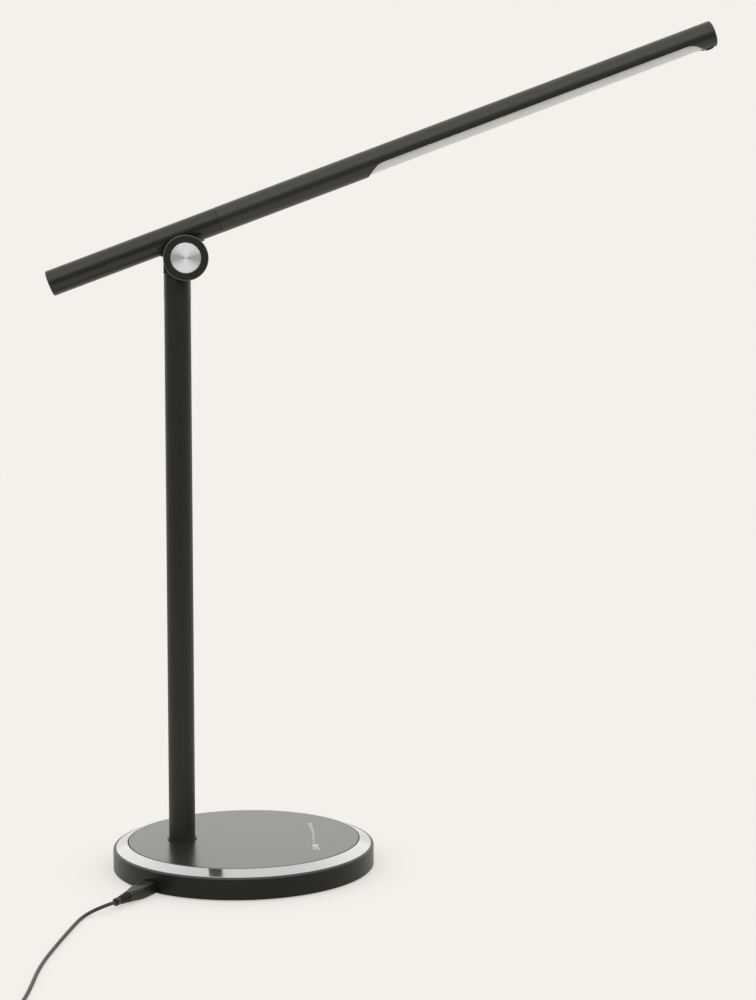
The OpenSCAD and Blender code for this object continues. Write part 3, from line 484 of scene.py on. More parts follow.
def chrome_plate():
    """Mirror-bright plating with faint smears and slow waves."""
    s = Shader("chrome", (0.65, 0.66, 0.65), 0.05, 1.0)
    s.paint(s.blend(s.noise(25 * MM, 2), (0.63, 0.64, 0.63), (0.67, 0.675, 0.66)))
    s.rough(s.spread(s.noise(14 * MM, 5, (1, 1, 3)), 0.03, 0.11, 0.35, 0.75))
    s.relief(s.noise(18 * MM, 1), 0.01 * MM)
    return s.material


def spun_metal():
    """Bright disc with turned rings round its own axis."""
    color = (0.97, 0.98, 0.98)
    s = Shader("spun_aluminium", color, 0.38, 0.80)
    s.set("Anisotropic", 0.96)
    s.set("Anisotropic Rotation", 0.25)
    tangent = s.node("ShaderNodeTangent", direction_type="RADIAL", axis="Z")
    s.link(tangent.outputs["Tangent"], s.bsdf.inputs["Tangent"])
    rings = s.rings(1.6 * MM, 1.4, 3, 2)
    s.paint(s.blend(rings, tinted(color, 0.95), tinted(color, 1.04)))
    s.rough(s.spread(rings, 0.34, 0.42, 0, 1))
    s.relief(rings, 0.002 * MM)
    return s.material


def turned_knob():
    """Black knob with faint turning rings round its own axis, polished edges, and a painted highlight on the rim's
    rounding.
    """
    color = (0.0122, 0.0090, 0.0055)
    s = Shader("knob_black", color, 0.36)
    rings = s.rings(2.2 * MM, 1.2, 2)
    facing = s.facing()
    # Rim rounding between face and side: lower roughness there is real polish, and its paler colour is a painted
    # highlight.
    off_face = s.spread(facing, 1, 0, 0.75, 0.97)
    off_side = s.spread(facing, 0, 1, 0.05, 0.3)
    rim = wire_math(s.tree, "MULTIPLY", off_face, off_side)
    tone = s.blend(rings, tinted(color, 0.85), tinted(color, 1.25))
    s.paint(s.blend(rim, tone, (0.16, 0.15, 0.14)))
    polish = s.node("ShaderNodeMix", data_type="FLOAT")
    polish.inputs["B"].default_value = 0.16
    s.link(rim, polish.inputs["Factor"])
    s.link(s.spread(rings, 0.33, 0.40, 0, 1), polish.inputs["A"])
    s.rough(polish.outputs["Result"])
    s.relief(rings, 0.004 * MM)
    return s.material


def opal_plastic():
    """Milky cover that light soaks into."""
    color = (0.77, 0.772, 0.745)
    s = Shader("opal", color, 0.36)
    s.set("Subsurface Weight", 0.4)
    s.set("Subsurface Radius", (1, 1, 0.9))
    s.set("Subsurface Scale", 2 * MM)
    s.paint(s.blend(s.noise(40 * MM, 2), tinted(color, 0.96), tinted(color, 1.02)))
    s.rough(s.spread(s.noise(2 * MM, 3), 0.32, 0.42))
    s.relief(s.noise(0.25 * MM, 2), 0.006 * MM)
    return s.material


def circuit_board():
    """Green board with tracks."""
    color = (0.03, 0.16, 0.07)
    s = Shader("circuit_board", color, 0.35)
    tracks = s.node("ShaderNodeTexBrick", offset=0.5)
    tracks.inputs["Scale"].default_value = 1 / (12 * MM)
    tracks.inputs["Mortar Size"].default_value = 0.02
    for key, value in (("Color1", color), ("Color2", tinted(color, 0.9)), ("Mortar", tinted(color, 1.7))):
        tracks.inputs[key].default_value = (*value, 1)
    s.link(s.where, tracks.inputs["Vector"])
    s.paint(tracks.outputs["Color"])
    s.rough(s.spread(s.noise(2 * MM, 3), 0.3, 0.45))
    s.relief(s.noise(0.5 * MM, 2), 0.01 * MM)
    return s.material


def brushed(name, color, roughness):
    """Metal with lines drawn out along Z."""
    return metal(name, color, roughness, (1, 1, 0.06))


materials = {
    "base_plastic": base_moulding(),
    "top_plate": glossy_plate(),
    "chrome": chrome_plate(),
    "steel_plate": brushed("steel_plate", (0.42, 0.42, 0.43), 0.45),
    "steel": metal("steel", (0.56, 0.56, 0.57), 0.32),
    "plated_steel": metal("plated_steel", (0.72, 0.72, 0.71), 0.2),
    "rubber": moulded("rubber", (0.022, 0.022, 0.021), 0.75),
    "circuit_board": circuit_board(),
    "wire_red": moulded("wire_red", (0.45, 0.05, 0.03), 0.45, 1 * MM, 0.01 * MM),
    "wire_white": moulded("wire_white", (0.75, 0.74, 0.70), 0.45, 1 * MM, 0.01 * MM),
    "painted_tube": coated("painted_tube", (0.0160, 0.0140, 0.0085), 0.31),
    "painted_pole": coated("painted_pole", (0.0165, 0.0148, 0.0105), 0.42, ior=1.40),
    "painted_head": coated("painted_head", (0.0240, 0.0218, 0.0158), 0.32),
    "painted_casting": coated("painted_casting", (0.0112, 0.0092, 0.0055), 0.36),
    "cast_metal": metal("cast_metal", (0.5, 0.5, 0.51), 0.55, depth=0.02 * MM),
    "washer": moulded("washer", (0.03, 0.028, 0.025), 0.5),
    "knob_black": turned_knob(),
    "spun_aluminium": spun_metal(),
    "cap_black": coated("cap_black", (0.0195, 0.0180, 0.0135), 0.36),
    "brass": metal("brass", (0.72, 0.53, 0.24), 0.3),
    "bare_aluminium": brushed("bare_aluminium", (0.62, 0.63, 0.64), 0.4),
    "led_board": moulded("led_board", (0.8, 0.8, 0.78), 0.4, 0.8 * MM, 0.01 * MM),
    "led_phosphor": moulded("led_phosphor", (0.85, 0.68, 0.16), 0.5, 0.4 * MM, 0.02 * MM),
    "opal": opal_plastic(),
    "cord_black": moulded("cord_black", (0.0165, 0.0152, 0.0128), 0.36, 0.4 * MM, 0.01 * MM),
    "tie_black": moulded("tie_black", (0.014, 0.014, 0.014), 0.6, 0.5 * MM, 0.02 * MM),
}
ink = moulded("ink", (0.62, 0.63, 0.58), 0.4, 0.4 * MM, 0.004 * MM)
ribbed = moulded("ribbed_black", (0.020, 0.019, 0.017), 0.30, 0.4 * MM, 0.01 * MM)
plug_grip = moulded("plug_grip", (0.0095, 0.0082, 0.0062), 0.42)

for node, obj in frame["nodes"].items():
    obj.data.materials.clear()
    obj.data.materials.append(materials[slots[node]])


def dress(obj, body, slot, stands_for=(), material=None):
    """Gives a piece its body and the material of its slot, or the one given, and hides the CAD nodes it stands
    for.
    """
    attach(obj, body)
    obj.data.materials.clear()
    obj.data.materials.append(material or materials[slot])
    if stands_for:
        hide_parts(*stands_for)
    return obj


TURNED_SIDES = 160
FINE_SIDES = 192
BASE_SIDES = 256


def turned(name, profile, placement, body, node, segments=TURNED_SIDES, material=None):
    """A turned piece that stands for one CAD node, with the material of that node's slot unless one is given."""
    obj = add_object(name, lathe(name, profile, segments), placement)
    return dress(obj, body, slots[node], (node,), material)


# -------- power cord

CORD_D = 2.5 * MM
CORD_ROUTE = [
    (-82.8, -105.4, 4.8), (-84.2, -107.8, 4.8), (-88, -112.2, 4.7), (-92, -116.4, 4.3),
    (-95.7, -119.7, 3.6), (-99.2, -122.9, 2.7), (-102.4, -127, 1.8), (-104.2, -131.2, 1.4),
    (-105.6, -136.5, 1.3), (-107.3, -146, 1.3), (-109.8, -161.5, 1.3), (-113.6, -187, 1.3),
    (-116.4, -208, 1.3), (-118.2, -226, 1.3), (-119, -242, 1.3), (-119.2, -262, 1.3),
    (-120, -284, 1.3), (-122, -303, 1.3), (-124.6, -318, 1.6),
]
TAIL_ROUTE = [
    (-95.3, -332, 7.7), (-94, -326, 5.8), (-90.6, -320.8, 3.7), (-84.6, -318.9, 2.7),
    (-78.9, -321.6, 3.3), (-76.7, -327, 4.1), (-76.4, -331, 4.2),
]
COIL_MIDDLE = Vector((-112, -338, 0))
COIL_R = 14
COIL_ROWS = 4
COIL_START = 160  # degrees from +X
COIL_SHIFT = 60  # degrees over which the lead moves to its next lane
COIL_FLOOR = 0.7
POINTS_A_TURN = 18


def coil_lanes():
    """Radius and height of each turn of the coil in mm: rows of four wound inwards, of three outwards."""
    d = CORD_D / MM
    lanes = []
    for row in range(COIL_ROWS):
        height = COIL_FLOOR + d / 2 + row * d * math.sqrt(3) / 2
        offsets = (1.5, 0.5, -0.5, -1.5) if row % 2 == 0 else (-1, 0, 1)
        lanes += [(COIL_R + k * d, height) for k in offsets]
    return lanes


def coil_points():
    """Points round the coil in mm: each turn follows its lane and ends by moving to the next."""
    lanes = coil_lanes()
    step = 360 / POINTS_A_TURN
    points = []
    last_turn = len(lanes) - 1
    for turn, (radius, height) in enumerate(lanes):
        after = lanes[min(turn + 1, last_turn)]
        reach = 360 - COIL_START if turn == last_turn else 360
        for k in range(math.ceil(reach / step)):
            t = ease(max(0.0, (k * step - 360 + COIL_SHIFT) / COIL_SHIFT))
            r, z = radius + (after[0] - radius) * t, height + (after[1] - height) * t
            a = math.radians(COIL_START + k * step)
            points.append(COIL_MIDDLE + Vector((r * math.cos(a), r * math.sin(a), z)))
    return points


def make_cord():
    """The whole lead as one curve: shown stretch, coil, and tail to the far plug."""
    points = [Vector(p) for p in CORD_ROUTE] + coil_points() + [Vector(p) for p in TAIL_ROUTE]
    curve = bpy.data.curves.new("power_cord_laid", "CURVE")
    curve.dimensions = "3D"
    curve.bevel_depth = 1
    curve.bevel_resolution = 5
    curve.resolution_u = 6
    curve.use_fill_caps = True
    spline = curve.splines.new("BEZIER")
    spline.bezier_points.add(len(points) - 1)
    for place, p in zip(spline.bezier_points, points):
        place.co = p * MM
        place.radius = CORD_D / 2
        place.handle_left_type = "AUTO"
        place.handle_right_type = "AUTO"
    obj = add_object("power_cord_laid", curve)
    return dress(obj, "base", "cord_black", ("power_cord", "cord_coil", "cord_tail"))


cord = make_cord()

# -------- base

plate_lo, plate_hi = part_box("base_top_plate")
ring_lo, ring_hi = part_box("chrome_ring")
pole_r = (pole_hi.x - pole_lo.x) / 2
RING_W = 8.5 * MM
RING_EDGE = 1.2 * MM
RING_LIP_W = 0.5 * MM
RING_LIP_H = 0.2 * MM
RING_SOFT = 0.45 * MM
PLATE_GAP = 0.5 * MM
PLATE_SOFT = 0.3 * MM
PLATE_HOLE_GAP = 0.15 * MM
HOLE_SIDES = 144


def make_base():
    """Conical bright ring, and the plate with the pole's hole. The moulded shell is the CAD's."""
    ring_in = ring_hi.x - RING_W
    outline = [
        (ring_in, ring_lo.z), (ring_hi.x, ring_lo.z), (ring_hi.x, ring_lo.z + RING_EDGE),
        (ring_in + RING_LIP_W, ring_hi.z), (ring_in, ring_hi.z - RING_LIP_H),
    ]
    centre = Matrix.Identity(4)
    turned("chrome_ring_turned", softened(outline, RING_SOFT), centre, "base", "chrome_ring", BASE_SIDES)
    plate_r = plate_hi.x - PLATE_GAP
    outline = [(0, plate_lo.z), (plate_r, plate_lo.z), (plate_r, plate_hi.z), (0, plate_hi.z)]
    disc = lathe("top_plate_disc", softened(outline, PLATE_SOFT), BASE_SIDES)
    plate = add_object("top_plate_disc", disc)
    circle = arc((0, 0), pole_r + PLATE_HOLE_GAP, 0, 360 - 360 / HOLE_SIDES, HOLE_SIDES - 1)
    hole = prism("hole", circle, -1 * MM, 2 * plate_hi.z, POLE)
    carve(plate, [add_object("hole", hole)])
    dress(plate, "base", "top_plate", ("base_top_plate",))


make_base()

POLE_WALL = 1.4 * MM
POLE_SOFT = 0.2 * MM
COLLAR_GAP = 0.03 * MM
COLLAR_SHARE = 0.45  # of the CAD collar's height, because the photo shows it lower
COLLAR_SOFT = 0.12 * MM


def make_pole():
    bore = pole_r - POLE_WALL
    outline = [(bore, pole_lo.z), (pole_r, pole_lo.z), (pole_r, pole_hi.z), (bore, pole_hi.z)]
    turned("pole_turned", softened(outline, POLE_SOFT), POLE, "base", "pole_tube",
           material=materials["painted_pole"])
    low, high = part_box("pole_collar")
    inner, outer = pole_r + COLLAR_GAP, (high.x - low.x) / 2
    top = low.z + COLLAR_SHARE * (high.z - low.z)
    outline = [(inner, low.z), (outer, low.z), (outer, top), (inner, top)]
    turned("pole_collar_turned", softened(outline, COLLAR_SOFT), POLE, "base", "pole_collar",
           material=materials["painted_casting"])


make_pole()

# -------- touch controls

MARK_Z = plate_hi.z
MARK_T = 0.02 * MM
MARK_X = 50.9 * MM
BAR_COUNT = 8
BAR_Y = (14 * MM, 39 * MM)
BAR_LONG = (1.9 * MM, 3.4 * MM)
BAR_RIGHT = (0.6 * MM, -0.6 * MM)  # from MARK_X
BAR_HALF = 0.8 * MM
DOT_COUNT = 5
DOT_X = 50.8 * MM
DOT_Y = 9.2 * MM
DOT_PITCH = 5.9 * MM
DOT_R = 1.05 * MM
DOT_SIDES = 24
BLOCK_COUNT = 4
BLOCK_X = (49.4 * MM, 54 * MM)
BLOCK_Y = -22.6 * MM
BLOCK_PITCH = 2.3 * MM
POWER_AT = (52.4 * MM, -34.6 * MM)
POWER_R = (1.7 * MM, 2.7 * MM)
POWER_REACH = 140  # degrees either way of +X
POWER_STEPS = 28
POWER_BAR = (-4 * MM, -0.6 * MM)
POWER_BAR_HALF = 0.5 * MM


def bar(x0, x1, y, half):
    """Printed bar across Y, as an outline with round ends."""
    middle, reach = (x0 + x1) / 2, (x1 - x0) / 2
    return [(middle + px, y + py) for px, py in rounded_outline(reach, half, 0.9 * min(reach, half), 3)]


def ring_part(centre, radii, a0, a1):
    """Printed part of a ring, from angle a0 to a1 in degrees, as an outline."""
    return arc(centre, radii[1], a0, a1, POWER_STEPS) + arc(centre, radii[0], a1, a0, POWER_STEPS)


def make_marks():
    """Bars that grow for brightness, five dots, a block of four bars and a power ring, read from +X."""
    outlines = []
    for k in range(BAR_COUNT):
        t = k / (BAR_COUNT - 1)
        right = MARK_X + between(BAR_RIGHT, t)
        outlines.append(bar(right - between(BAR_LONG, t), right, between(BAR_Y, t), BAR_HALF))
    for k in range(DOT_COUNT):
        centre = (DOT_X, DOT_Y - DOT_PITCH * k)
        outlines.append(arc(centre, DOT_R, 0, 360 - 360 / DOT_SIDES, DOT_SIDES - 1))
    for k in range(BLOCK_COUNT):
        outlines.append(bar(*BLOCK_X, BLOCK_Y - BLOCK_PITCH * k, BAR_HALF))
    outlines.append(ring_part(POWER_AT, POWER_R, -POWER_REACH, POWER_REACH))
    left, right = (POWER_AT[0] + x for x in POWER_BAR)
    outlines.append(bar(left, right, POWER_AT[1], POWER_BAR_HALF))
    bm = bmesh.new()
    for outline in outlines:
        part = prism("mark", outline, MARK_Z, MARK_Z + MARK_T)
        bm.from_mesh(part)
        bpy.data.meshes.remove(part)
    dress(add_object("touch_marks", finish_mesh(bm, "touch_marks")), "base", None, (), ink)


make_marks()

# -------- hinge

KNOB_FOOT_R = 11.95 * MM  # the part of the cap that sits in the ear
KNOB_FOOT_H = 0.95 * MM
KNOB_LEDGE_W = 1.1 * MM
KNOB_SOFT = 0.65 * MM
DISC_GAP = 0.05 * MM
DISC_CHAMFER = 0.25 * MM
DISC_SOFT = 0.08 * MM
COVER_WALL = 1.4 * MM
COVER_SOFT = 1.3 * MM


def make_hinge():
    """Black cap with the spun disc in it on the front, and the domed cover on the back."""
    low, high, cap_r = span("hinge_cap_ring", HINGE_FRONT)
    disc_low, disc_high, disc_r = span("hinge_cap_disc", HINGE_FRONT)
    foot_top, ledge_r, wall_r = low + KNOB_FOOT_H, disc_r - KNOB_LEDGE_W, disc_r + DISC_GAP
    outline = [
        (ledge_r, low), (KNOB_FOOT_R, low), (KNOB_FOOT_R, foot_top), (cap_r, foot_top),
        (cap_r, high), (wall_r, high), (wall_r, disc_low), (ledge_r, disc_low),
    ]
    turned("hinge_cap_turned", softened(outline, KNOB_SOFT, 6), HINGE_FRONT, "base",
           "hinge_cap_ring", FINE_SIDES)
    foot, top, back_r = span("hinge_rear_cover", HINGE_BACK)
    bore, ceiling = back_r - COVER_WALL, top - COVER_WALL
    outline = [(bore, foot), (back_r, foot), (back_r, top), (0, top), (0, ceiling), (bore, ceiling)]
    turned("hinge_rear_cover_turned", softened(outline, COVER_SOFT, 8), HINGE_BACK, "base",
           "hinge_rear_cover", FINE_SIDES)
    outline = [
        (0, disc_low), (disc_r, disc_low), (disc_r, disc_high - DISC_CHAMFER),
        (disc_r - DISC_CHAMFER, disc_high), (0, disc_high),
    ]
    turned("hinge_disc_spun", softened(outline, DISC_SOFT), HINGE_FRONT, "base",
           "hinge_cap_disc", FINE_SIDES)


make_hinge()

# -------- arm and head

TUBE_WALL = 1.2 * MM
CAP_SPIGOT = 6 * MM
CAP_SPIGOT_GAP = 0.05 * MM
CAP_CORNER = 1.2 * MM
CAP_DISH_IN = (2.6 * MM, 3 * MM)  # where the dish in the cap's face starts and levels out
CAP_DISH_DEPTH = 0.12 * MM
TIP_CORNER = 0.9 * MM
TIP_PROUD = 0.8 * MM
SEAM_REACH = 0.135 * MM
SEAM_CLOSE = 0.05 * MM
SEAM_DEPTH = 0.5 * MM
SEAM_SOFT = 0.1 * MM


def tube_profile(node, seam_low=False, seam_high=False):
    """Tube of the node's length, with a lip inside the groove where it meets the seam."""
    low, high, r = span(node, ALONG_ARM)
    bore, lip = r - TUBE_WALL, r - SEAM_DEPTH
    outline = [(bore, low), (r, low)]
    if seam_low:
        edge, end = low - SEAM_CLOSE, low - SEAM_REACH
        outline = [(bore, end), (lip, end), (lip, edge), (r, edge)]
    if seam_high:
        edge, end = high + SEAM_CLOSE, high + SEAM_REACH
        outline += [(r, edge), (lip, edge), (lip, end), (bore, end)]
    else:
        outline += [(r, high), (bore, high)]
    return softened(outline, SEAM_SOFT)


def cap_profile(r, inner, outer, corner=CAP_CORNER):
    """Plug in the tube's bore from inner, and a rounded rim out to outer, either way along the arm."""
    way = 1 if outer > inner else -1
    bore = r - TUBE_WALL - CAP_SPIGOT_GAP
    shoulder = inner + way * CAP_SPIGOT
    rim = [(r - corner + x, outer - way * corner + way * y) for x, y in arc((0, 0), corner, 0, 90, 8)]
    dished = outer - way * CAP_DISH_DEPTH
    dish = [(r - CAP_DISH_IN[0], outer), (r - CAP_DISH_IN[1], dished), (0, dished)]
    return [(0, inner), (bore, inner), (bore, shoulder), (r, shoulder), *rim, *dish]


def make_arm():
    turned("arm_tube_drawn", tube_profile("arm_tube", seam_high=True), ALONG_ARM, "arm", "arm_tube")
    low, high, arm_r = span("arm_end_cap", ALONG_ARM)
    turned("arm_end_cap_turned", cap_profile(arm_r, high, low), ALONG_ARM, "arm", "arm_end_cap")


make_arm()

SLOT_FROM = 142.6 * MM
SLOT_TO = 402.2 * MM
SLOT_DROP = 3.4 * MM
SLOT_ROUND = 14 * MM
SLOT_SLOPE = 33
SLOT_STEPS = 12
SLOT_SOFT = 0.12 * MM
CUTTER_BELOW = 4 * MM
CUTTER_HALF_W = 20 * MM


def slot_outline(r, depth):
    """Side outline of the light opening in the arm's frame: flat edge, rounded and sloping ends."""
    slope = math.radians(SLOT_SLOPE)
    tangent = SLOT_ROUND * math.sin(slope)
    start = SLOT_DROP + SLOT_ROUND * (1 - math.cos(slope))
    run = tangent + (r - start) / math.tan(slope)
    far = run + (depth - r) / math.tan(slope)
    flat_from, flat_to = SLOT_FROM + run, SLOT_TO - run
    top = -SLOT_DROP - SLOT_ROUND
    return [
        (flat_from - far, -depth),
        *arc((flat_from, top), SLOT_ROUND, 90 + SLOT_SLOPE, 90, SLOT_STEPS),
        *arc((flat_to, top), SLOT_ROUND, 90, 90 - SLOT_SLOPE, SLOT_STEPS),
        (flat_to + far, -depth),
    ]


def make_head():
    """Tube with the light's opening milled out of its underside, and the cap on its tip."""
    head_r = span("head_tube", ALONG_ARM)[2]
    profile = tube_profile("head_tube", seam_low=True)
    tube = add_object("head_tube_milled", lathe("head_tube_milled", profile, FINE_SIDES), ALONG_ARM)
    side = ARM @ columns(X, Z, -Y, Vector())
    outline = slot_outline(head_r, head_r + CUTTER_BELOW)
    cutter = prism("slot", outline, -CUTTER_HALF_W, CUTTER_HALF_W, side)
    carve(tube, [add_object("slot", cutter)], SLOT_SOFT)
    dress(tube, "head", "painted_head", ("head_tube",))
    tip_low, tip_high = span("head_end_cap", ALONG_ARM)[:2]
    profile = cap_profile(head_r, tip_low, tip_high + TIP_PROUD, TIP_CORNER)
    turned("head_end_cap_turned", profile, ALONG_ARM, "head", "head_end_cap")


make_head()

BUMPER_PROUD = 0.8 * MM
BUMPER_SHIFT = 0.8 * MM
BUMPER_HALF_ANGLE = 18
BUMPER_STEPS = 14
BUMPER_SUNK = 0.05 * MM
BUMPER_DEEP = 0.4 * MM
BUMPER_SMOOTH = 50
# Place along half the pad's length, and share of its full height there
BUMPER_RISE = ((0.5, 1), (0.78, 0.92), (0.94, 0.55), (1, 0.0))


def make_bumper():
    """Low rubber pad, curved with the head and fading into it at its edges."""
    low, high = span("bumper_pad", ALONG_ARM)[:2]
    tube_r = span("head_tube", ALONG_ARM)[2]
    middle, half_l = (low + high) / 2 + BUMPER_SHIFT, (high - low) / 2
    edge_r, inner_r = tube_r - BUMPER_SUNK, tube_r - BUMPER_DEEP
    rings = []
    for t, rise in [(-t, rise) for t, rise in reversed(BUMPER_RISE)] + list(BUMPER_RISE):
        r = tube_r + BUMPER_PROUD * rise
        s = middle + t * half_l
        outer, inner = [], []
        for k in range(BUMPER_STEPS + 1):
            side = 2 * k / BUMPER_STEPS - 1
            a = math.radians(BUMPER_HALF_ANGLE * side)
            reach = edge_r + (r - edge_r) * (1 - side ** 4)
            outer.append((s, reach * math.sin(a), -reach * math.cos(a)))
            inner.append((s, inner_r * math.sin(a), -inner_r * math.cos(a)))
        rings.append(outer + list(reversed(inner)))
    pad = add_object("bumper_pad_soft", loft("bumper_pad_soft", rings, BUMPER_SMOOTH), ARM)
    dress(pad, "head", "rubber", ("bumper_pad",))


make_bumper()

DIFFUSER_WALL = 1.1 * MM
DIFFUSER_TOP = -0.55 * MM
DIFFUSER_SOFT = 0.25 * MM
DIFFUSER_STEPS = 56
DIFFUSER_PARTS = 40


def make_diffuser():
    """Half-round opal trough with softened ends."""
    low, high, r = span("diffuser", ALONG_ARM)

    def half_ring(radius, s):
        edge = math.acos(DIFFUSER_TOP / radius)
        turn = [edge + (2 * math.pi - 2 * edge) * k / DIFFUSER_STEPS for k in range(DIFFUSER_STEPS + 1)]
        return [(s, radius * math.sin(a), radius * math.cos(a)) for a in turn]

    def section(s, shrink=0.0):
        return half_ring(r - shrink, s) + list(reversed(half_ring(r - DIFFUSER_WALL + shrink, s)))

    ends = [(0.0, DIFFUSER_SOFT), (0.4 * DIFFUSER_SOFT, 0.3 * DIFFUSER_SOFT), (DIFFUSER_SOFT, 0.0)]
    rings = [section(low + s, shrink) for s, shrink in ends]
    rings += [section(low + (high - low) * k / DIFFUSER_PARTS) for k in range(1, DIFFUSER_PARTS)]
    rings += [section(high - s, shrink) for s, shrink in reversed(ends)]
    trough = add_object("diffuser_trough", loft("diffuser_trough", rings), ARM)
    dress(trough, "head", "opal", ("diffuser",))


make_diffuser()

# -------- plug at the base

PLUG_HALF_W = 5.3 * MM
PLUG_HALF_H = 4.1 * MM
PLUG_L = 17 * MM
PLUG_TAPER = 14 * MM
PLUG_CORNER = 1.3 * MM
PLUG_NECK_CORNER = 2.9 * MM
PLUG_NECK_WIDER = 0.2 * MM  # than the strain relief
PLUG_EDGE = ((0.35 * MM, 0.0), (0.1 * MM, 0.1 * MM), (0.0, 0.35 * MM))  # inset, and place from the face
PLUG_STEPS = 14
PLUG_SMOOTH = 40
POCKET_AT = 11.5 * MM
POCKET_HALF = (4.5 * MM, 2.9 * MM)
POCKET_DEPTH = 0.6 * MM
POCKET_CORNER = 0.5 * MM
POCKET_SOFT = 0.2 * MM
RELIEF_L = 13 * MM
RELIEF_R1 = 3.5 * MM
RELIEF_R2 = 2.7 * MM
RELIEF_END = 4.6 * MM  # length of the plain end beyond the ribs
RELIEF_RIBS = 5
RELIEF_SUNK = 1 * MM
RELIEF_SIDES = 48
RELIEF_SOFT = 0.15 * MM
GROOVE_DEPTH = 1.9 * MM
GROOVE_SHARE = 0.6  # of the pitch of the ribs
GROOVE_END = 1 * MM
CORE_MIN = CORD_D / 2 + 0.1 * MM


def plug_section(u, half_w, half_h, corner):
    return [(u, y, z) for y, z in rounded_outline(half_w, half_h, corner, 8)]


def make_plug():
    """Moulded grip that tapers to a neck, with a shallow pocket in its upper side."""
    face = span("cord_plug", ALONG_SOCKET)[0]
    shoulder = face + PLUG_L
    rings = []
    for inset, u in PLUG_EDGE:
        rings.append(plug_section(face + u, PLUG_HALF_W - inset, PLUG_HALF_H - inset, PLUG_CORNER))
    for k in range(PLUG_STEPS + 1):
        t = k / PLUG_STEPS
        bend = (t + ease(t)) / 2
        half_w = between((PLUG_HALF_W, RELIEF_R1 + PLUG_NECK_WIDER), bend)
        half_h = between((PLUG_HALF_H, RELIEF_R1), bend)
        corner = between((PLUG_CORNER, PLUG_NECK_CORNER), bend)
        rings.append(plug_section(shoulder + PLUG_TAPER * t, half_w, half_h, corner))
    body = add_object("cord_plug_moulding", loft("cord_plug_moulding", rings, PLUG_SMOOTH), SOCKET)
    middle = SOCKET @ Matrix.Translation((face + POCKET_AT, 0, PLUG_HALF_H))
    pocket = prism("pocket", rounded_outline(*POCKET_HALF, POCKET_CORNER), -POCKET_DEPTH, 2 * MM, middle)
    carve(body, [add_object("pocket", pocket)], POCKET_SOFT, PLUG_SMOOTH)
    dress(body, "base", "cord_black", ("cord_plug",), plug_grip)


def make_relief():
    """Strain relief: ribs that get smaller towards the lead, and a plain end."""
    face, end = span("cord_plug", ALONG_SOCKET)[:2]
    neck = face + PLUG_L + PLUG_TAPER
    pitch = (RELIEF_L - RELIEF_END) / RELIEF_RIBS
    profile = [(0, neck - RELIEF_SUNK)]
    for k in range(RELIEF_RIBS):
        outer = between((RELIEF_R1, RELIEF_R2), k / RELIEF_RIBS)
        core = max(outer - GROOVE_DEPTH, CORE_MIN)
        start = neck + k * pitch
        rib = start + GROOVE_SHARE * pitch
        profile += [(core, start), (core, rib), (outer, rib), (outer, start + pitch)]
    start = end - RELIEF_END
    rib = start + GROOVE_END
    profile += [(CORE_MIN, start), (CORE_MIN, rib), (RELIEF_R2, rib), (RELIEF_R2, end)]
    profile += [(CORD_D / 2, end), (0, end)]
    relief = lathe("cord_plug_relief", softened(profile, RELIEF_SOFT, 3), RELIEF_SIDES)
    dress(add_object("cord_plug_relief", relief, ALONG_SOCKET), "base", "cord_black", (), ribbed)


make_plug()
make_relief()

# -------- tie and far plug

TIE_WALL = 0.5 * MM
TIE_CORNER = (2.2 * MM, 1.8 * MM)  # outside and inside
TIE_SOFT = 0.12 * MM


def make_tie():
    """Strap once round the bundle, with a rounded outline."""
    low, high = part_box("cord_tie")
    half, placement = (high - low) / 2, Matrix.Translation((low + high) / 2)
    bm = bmesh.new()
    outer = rounded_outline(half.y, half.z, TIE_CORNER[0])
    inner = rounded_outline(half.y - TIE_WALL, half.z - TIE_WALL, TIE_CORNER[1])
    rows = [(-half.x, outer), (half.x, outer), (half.x, inner), (-half.x, inner)]
    rings = [[bm.verts.new((x, y, z)) for y, z in outline] for x, outline in rows]
    for a, b in zip(rings, rings[1:] + rings[:1]):
        for k in range(len(a)):
            n = (k + 1) % len(a)
            bm.faces.new((a[k], a[n], b[n], b[k]))
    tie = add_object("cord_tie_strap", finish_mesh(bm, "cord_tie_strap"), placement)
    bevel(tie, TIE_SOFT, 50)
    apply_modifiers(tie)
    return dress(tie, "base", "tie_black", ("cord_tie",))


tie = make_tie()

FAR_NECK_L = 8 * MM
FAR_NECK_R = (2.3 * MM, 3.2 * MM)
FAR_NECK_STEPS = 5
FAR_HALF_W = 7.6
FAR_HALF_H = 4.1
FAR_CORNER = 1.3
# Sections of the grip in mm: place from the neck, half width, half height, corner
FAR_SHOULDER = (
    (0, 4.4, 3.5, 2.6), (0.6, 6.2, 3.9, 2), (1.8, 7.2, FAR_HALF_H, 1.6), (4, FAR_HALF_W, FAR_HALF_H, 1.4),
)
# Rounding of the far end in mm: place from the end, inset
FAR_EDGE = ((-0.5, 0.0), (-0.15, 0.15), (0, 0.45))
GRIP_GROOVES = 4
GRIP_FROM = 7 * MM
GRIP_PITCH = 2.4 * MM
GRIP_HALF = (0.6 * MM, 2.9 * MM)
GRIP_CORNER = 0.5 * MM
GRIP_HALF_L = 0.5 * MM
GRIP_SOFT = 0.1 * MM


